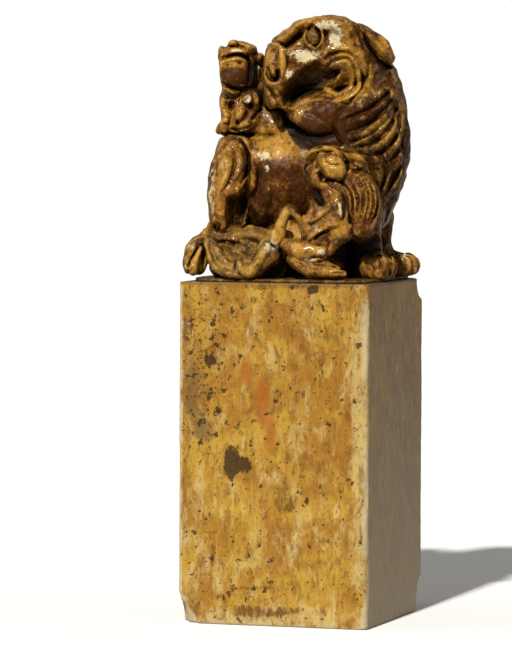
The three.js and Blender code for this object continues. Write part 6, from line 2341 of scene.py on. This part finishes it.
@dataclass(frozen=True)
class Ledge:
    """The low step that the animals stand on, left rough when the ground round them was cut away.

    Attributes:
        half: Half the width.
        power: How square its outline is: |x|^power + |y|^power is the same all round.
        count: Points round it.
    """

    half: float = 15.1
    power: float = 7.0
    count: int = 360

    def build(self) -> bpy.types.Object:
        """Makes the ledge."""
        count = self.count
        angle = np.linspace(0, 2 * np.pi, count, endpoint=False) + 0.01
        total = np.abs(np.cos(angle)) ** self.power + np.abs(np.sin(angle)) ** self.power
        radius = self.half / total ** (1 / self.power)
        radius = radius - 0.12 * (1 + Block.waves(angle * 12, 77, 9))
        rim = np.stack([radius * np.cos(angle), radius * np.sin(angle)], axis=-1)
        rows = []
        for share in np.linspace(0.01, 0.985, 14):
            rows.append(np.column_stack([rim * share, np.full(count, BLOCK_TOP + 0.001)]))
        for z, grow in ((0.0, 0.99), (0.15, 1.0), (0.35, 0.998), (0.5, 0.992), (0.57, 0.984)):
            rows.append(np.column_stack([rim * grow, np.full(count, BLOCK_TOP + z)]))
        for share in np.linspace(0.97, 0.01, 60):
            flat = rim * share
            lift = LEDGE_TOP - 0.05 + 0.03 * np.sin(1.9 * flat[:, 0] + 1) * np.sin(2.3 * flat[:, 1])
            rows.append(np.column_stack([flat, BLOCK_TOP + lift]))
        points, faces = Block.closed(np.array(rows))
        ledge = make_piece("ledge", points, faces)
        away = self.half - np.maximum(np.abs(points[:, 0]), np.abs(points[:, 1]))
        flat = np.zeros(len(points))
        set_attributes(
            ledge, {"hollow": flat + 0.12, "sharp": np.exp(-away / 0.4) * 0.1, "shut": flat + 0.25},
        )
        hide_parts("ground_ledge")
        return ledge


@dataclass(frozen=True)
class Studio:
    """The floor, the lamps, the world and the camera.

    Attributes:
        key: The strength of the key light.
        key_side: Degrees that it stands round from the front.
        key_height: Degrees that it stands above the floor.
        left: The strength of the lamp on the left.
        fill: The strength of the light from all round.
        floor: The floor's colour as the camera sees it.
        lift: How much the floor glows for the camera.
        bounce: The floor's colour as it lights the stone.
    """

    key: float = 4.2
    key_side: float = -0.5
    key_height: float = 39.3
    left: float = 0.35
    fill: float = 0.2
    floor: Colour = (0.95, 0.95, 0.94)
    lift: float = 0.02
    bounce: Colour = (0.4, 0.385, 0.36)

    def world(self) -> None:
        """A soft even light, which the camera sees as white."""
        world = bpy.data.worlds.new("studio")
        bpy.context.scene.world = world
        world.use_nodes = True
        tree = world.node_tree
        tree.nodes.clear()
        path = tree.nodes.new("ShaderNodeLightPath")
        seen = tree.nodes.new("ShaderNodeMath")
        seen.operation = "MAXIMUM"
        tree.links.new(path.outputs["Is Camera Ray"], seen.inputs[0])
        tree.links.new(path.outputs["Is Transmission Ray"], seen.inputs[1])
        soft = tree.nodes.new("ShaderNodeBackground")
        soft.inputs["Color"].default_value = (1, 0.97, 0.91, 1)
        soft.inputs["Strength"].default_value = self.fill
        white = tree.nodes.new("ShaderNodeBackground")
        white.inputs["Color"].default_value = (1, 1, 1, 1)
        white.inputs["Strength"].default_value = 1.0
        mixed = tree.nodes.new("ShaderNodeMixShader")
        tree.links.new(seen.outputs[0], mixed.inputs[0])
        tree.links.new(soft.outputs[0], mixed.inputs[1])
        tree.links.new(white.outputs[0], mixed.inputs[2])
        out = tree.nodes.new("ShaderNodeOutputWorld")
        tree.links.new(mixed.outputs[0], out.inputs[0])

    def ground(self) -> None:
        """A wide pale floor, which the camera sees a little lighter than it lights the stone."""
        reach = 3000.0
        corners = np.array([(-reach, -reach, 0), (reach, -reach, 0), (reach, reach, 0), (-reach, reach, 0)])
        floor = make_piece("floor", corners, np.array([[0, 1, 2, 3]]), smooth=False)
        n = Nodes("floor")
        shade = n.make("ShaderNodeBsdfDiffuse", {}, {"Color": self.floor})
        path = n.make("ShaderNodeLightPath", {}, {})
        glow = n.make("ShaderNodeEmission", {}, {"Color": (1.0, 1.0, 0.97), "Strength": self.lift})
        seen = n.make("ShaderNodeAddShader", {}, {0: shade.outputs[0], 1: glow.outputs[0]})
        felt = n.make("ShaderNodeBsdfDiffuse", {}, {"Color": self.bounce})
        both = n.make(
            "ShaderNodeMixShader", {},
            {0: path.outputs["Is Camera Ray"], 1: felt.outputs[0], 2: seen.outputs[0]},
        )
        n.make("ShaderNodeOutputMaterial", {}, {"Surface": both.outputs[0]})
        floor.data.materials.append(n.material)

    def lamps(self) -> None:
        """A key light from above the camera's left, and a weak broad one from the left."""
        lamps = (
            ("key", self.key, 2.5, self.key_side, self.key_height),
            ("left", self.left, 30.0, -75.0, 30.0),
        )
        for name, strength, width, side, height in lamps:
            lamp = bpy.data.lights.new(name, "SUN")
            lamp.energy = strength
            lamp.angle = math.radians(width)
            lamp.color = (1.0, 0.98, 0.95)
            light = bpy.data.objects.new(name, lamp)
            a, e = math.radians(side), math.radians(height)
            back = np.array([math.sin(a) * math.cos(e), -math.cos(a) * math.cos(e), math.sin(e)])
            right = np.array([math.cos(a), math.sin(a), 0.0])
            light.matrix_world = self.placed((right, np.cross(back, right), back), back)
            bpy.context.scene.collection.objects.link(light)

    @staticmethod
    def placed(axes: Sequence[Array], place: Array) -> Matrix:
        """The matrix of an object with the given axes and place, in metres."""
        matrix = Matrix.Identity(4)
        for i, axis in enumerate((*axes, place)):
            for j in range(3):
                matrix[j][i] = axis[j]
        return matrix

    def camera(self) -> None:
        """The camera of the photograph."""
        lens = bpy.data.cameras.new("camera")
        lens.sensor_fit = "VERTICAL"
        lens.sensor_height = 36
        lens.lens = PHOTO.focal / PHOTO.height * lens.sensor_height
        lens.clip_start = 0.01
        camera = bpy.data.objects.new("camera", lens)
        camera.matrix_world = self.placed(PHOTO.axes(), PHOTO.eye() * MM)
        bpy.context.scene.collection.objects.link(camera)
        bpy.context.scene.camera = camera

    def build(self) -> None:
        """Builds the studio."""
        bpy.context.scene.view_settings.view_transform = "Standard"
        self.world()
        self.ground()
        self.lamps()
        self.camera()


def main() -> None:
    """Builds the seal and its studio."""
    logging.basicConfig(level=logging.INFO, format="%(message)s")
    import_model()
    Studio().build()
    finishes = {
        "stone_lion": CarvedStone("carved stone").material(),
        "stone_mane": CarvedStone(
            "mane stone", base=(0.155, 0.070, 0.013), deep=(0.030, 0.013, 0.003),
        ).material(),
        "stone_tail": CarvedStone(
            "tail stone", base=(0.18, 0.098, 0.021), deep=(0.046, 0.024, 0.007), high=(0.50, 0.26, 0.036),
        ).material(),
        "stone_cub": CarvedStone("cub stone", base=(0.27, 0.11, 0.014)).material(),
        "stone_eye": CarvedStone("eye stone", base=(0.20, 0.09, 0.018), coat=0.8).material(),
        "stone_ledge": CarvedStone("ledge stone", base=(0.085, 0.054, 0.019)).material(),
        "stone_shaft": BlockStone("block stone").material(),
        "stone_seal_face": BlockStone("face stone").material(),
    }
    stone = Stone([
        LionHead().figure(),
        LionMane().figure(),
        Rider().figure(),
        Climber().figure(),
        Tail().figure(),
        LionBody().figure(),
    ])
    for index, figure in enumerate(stone.figures):
        for number, region in enumerate(figure.regions):
            field = stone.region_field(index, number)
            points, quads = field.surface()
            points = field.settle(points)
            raised = points + np.array([0, 0, BLOCK_TOP])
            piece = make_piece(region.node + "_carved", raised, quads)
            set_attributes(piece, stone.attributes(points))
            piece.data.materials.append(finishes[region.slot])
            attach(piece, BODY)
            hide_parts(region.node)
            LOG.info("%s: %d faces", piece.name, len(quads))
    for piece, slot in zip(
        (*Block().build(), Ledge().build()), ("stone_shaft", "stone_seal_face", "stone_ledge"),
    ):
        piece.data.materials.append(finishes[slot])
        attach(piece, BODY)
        LOG.info("%s: %d faces", piece.name, len(piece.data.polygons))


if __name__ == "__main__":
    main()
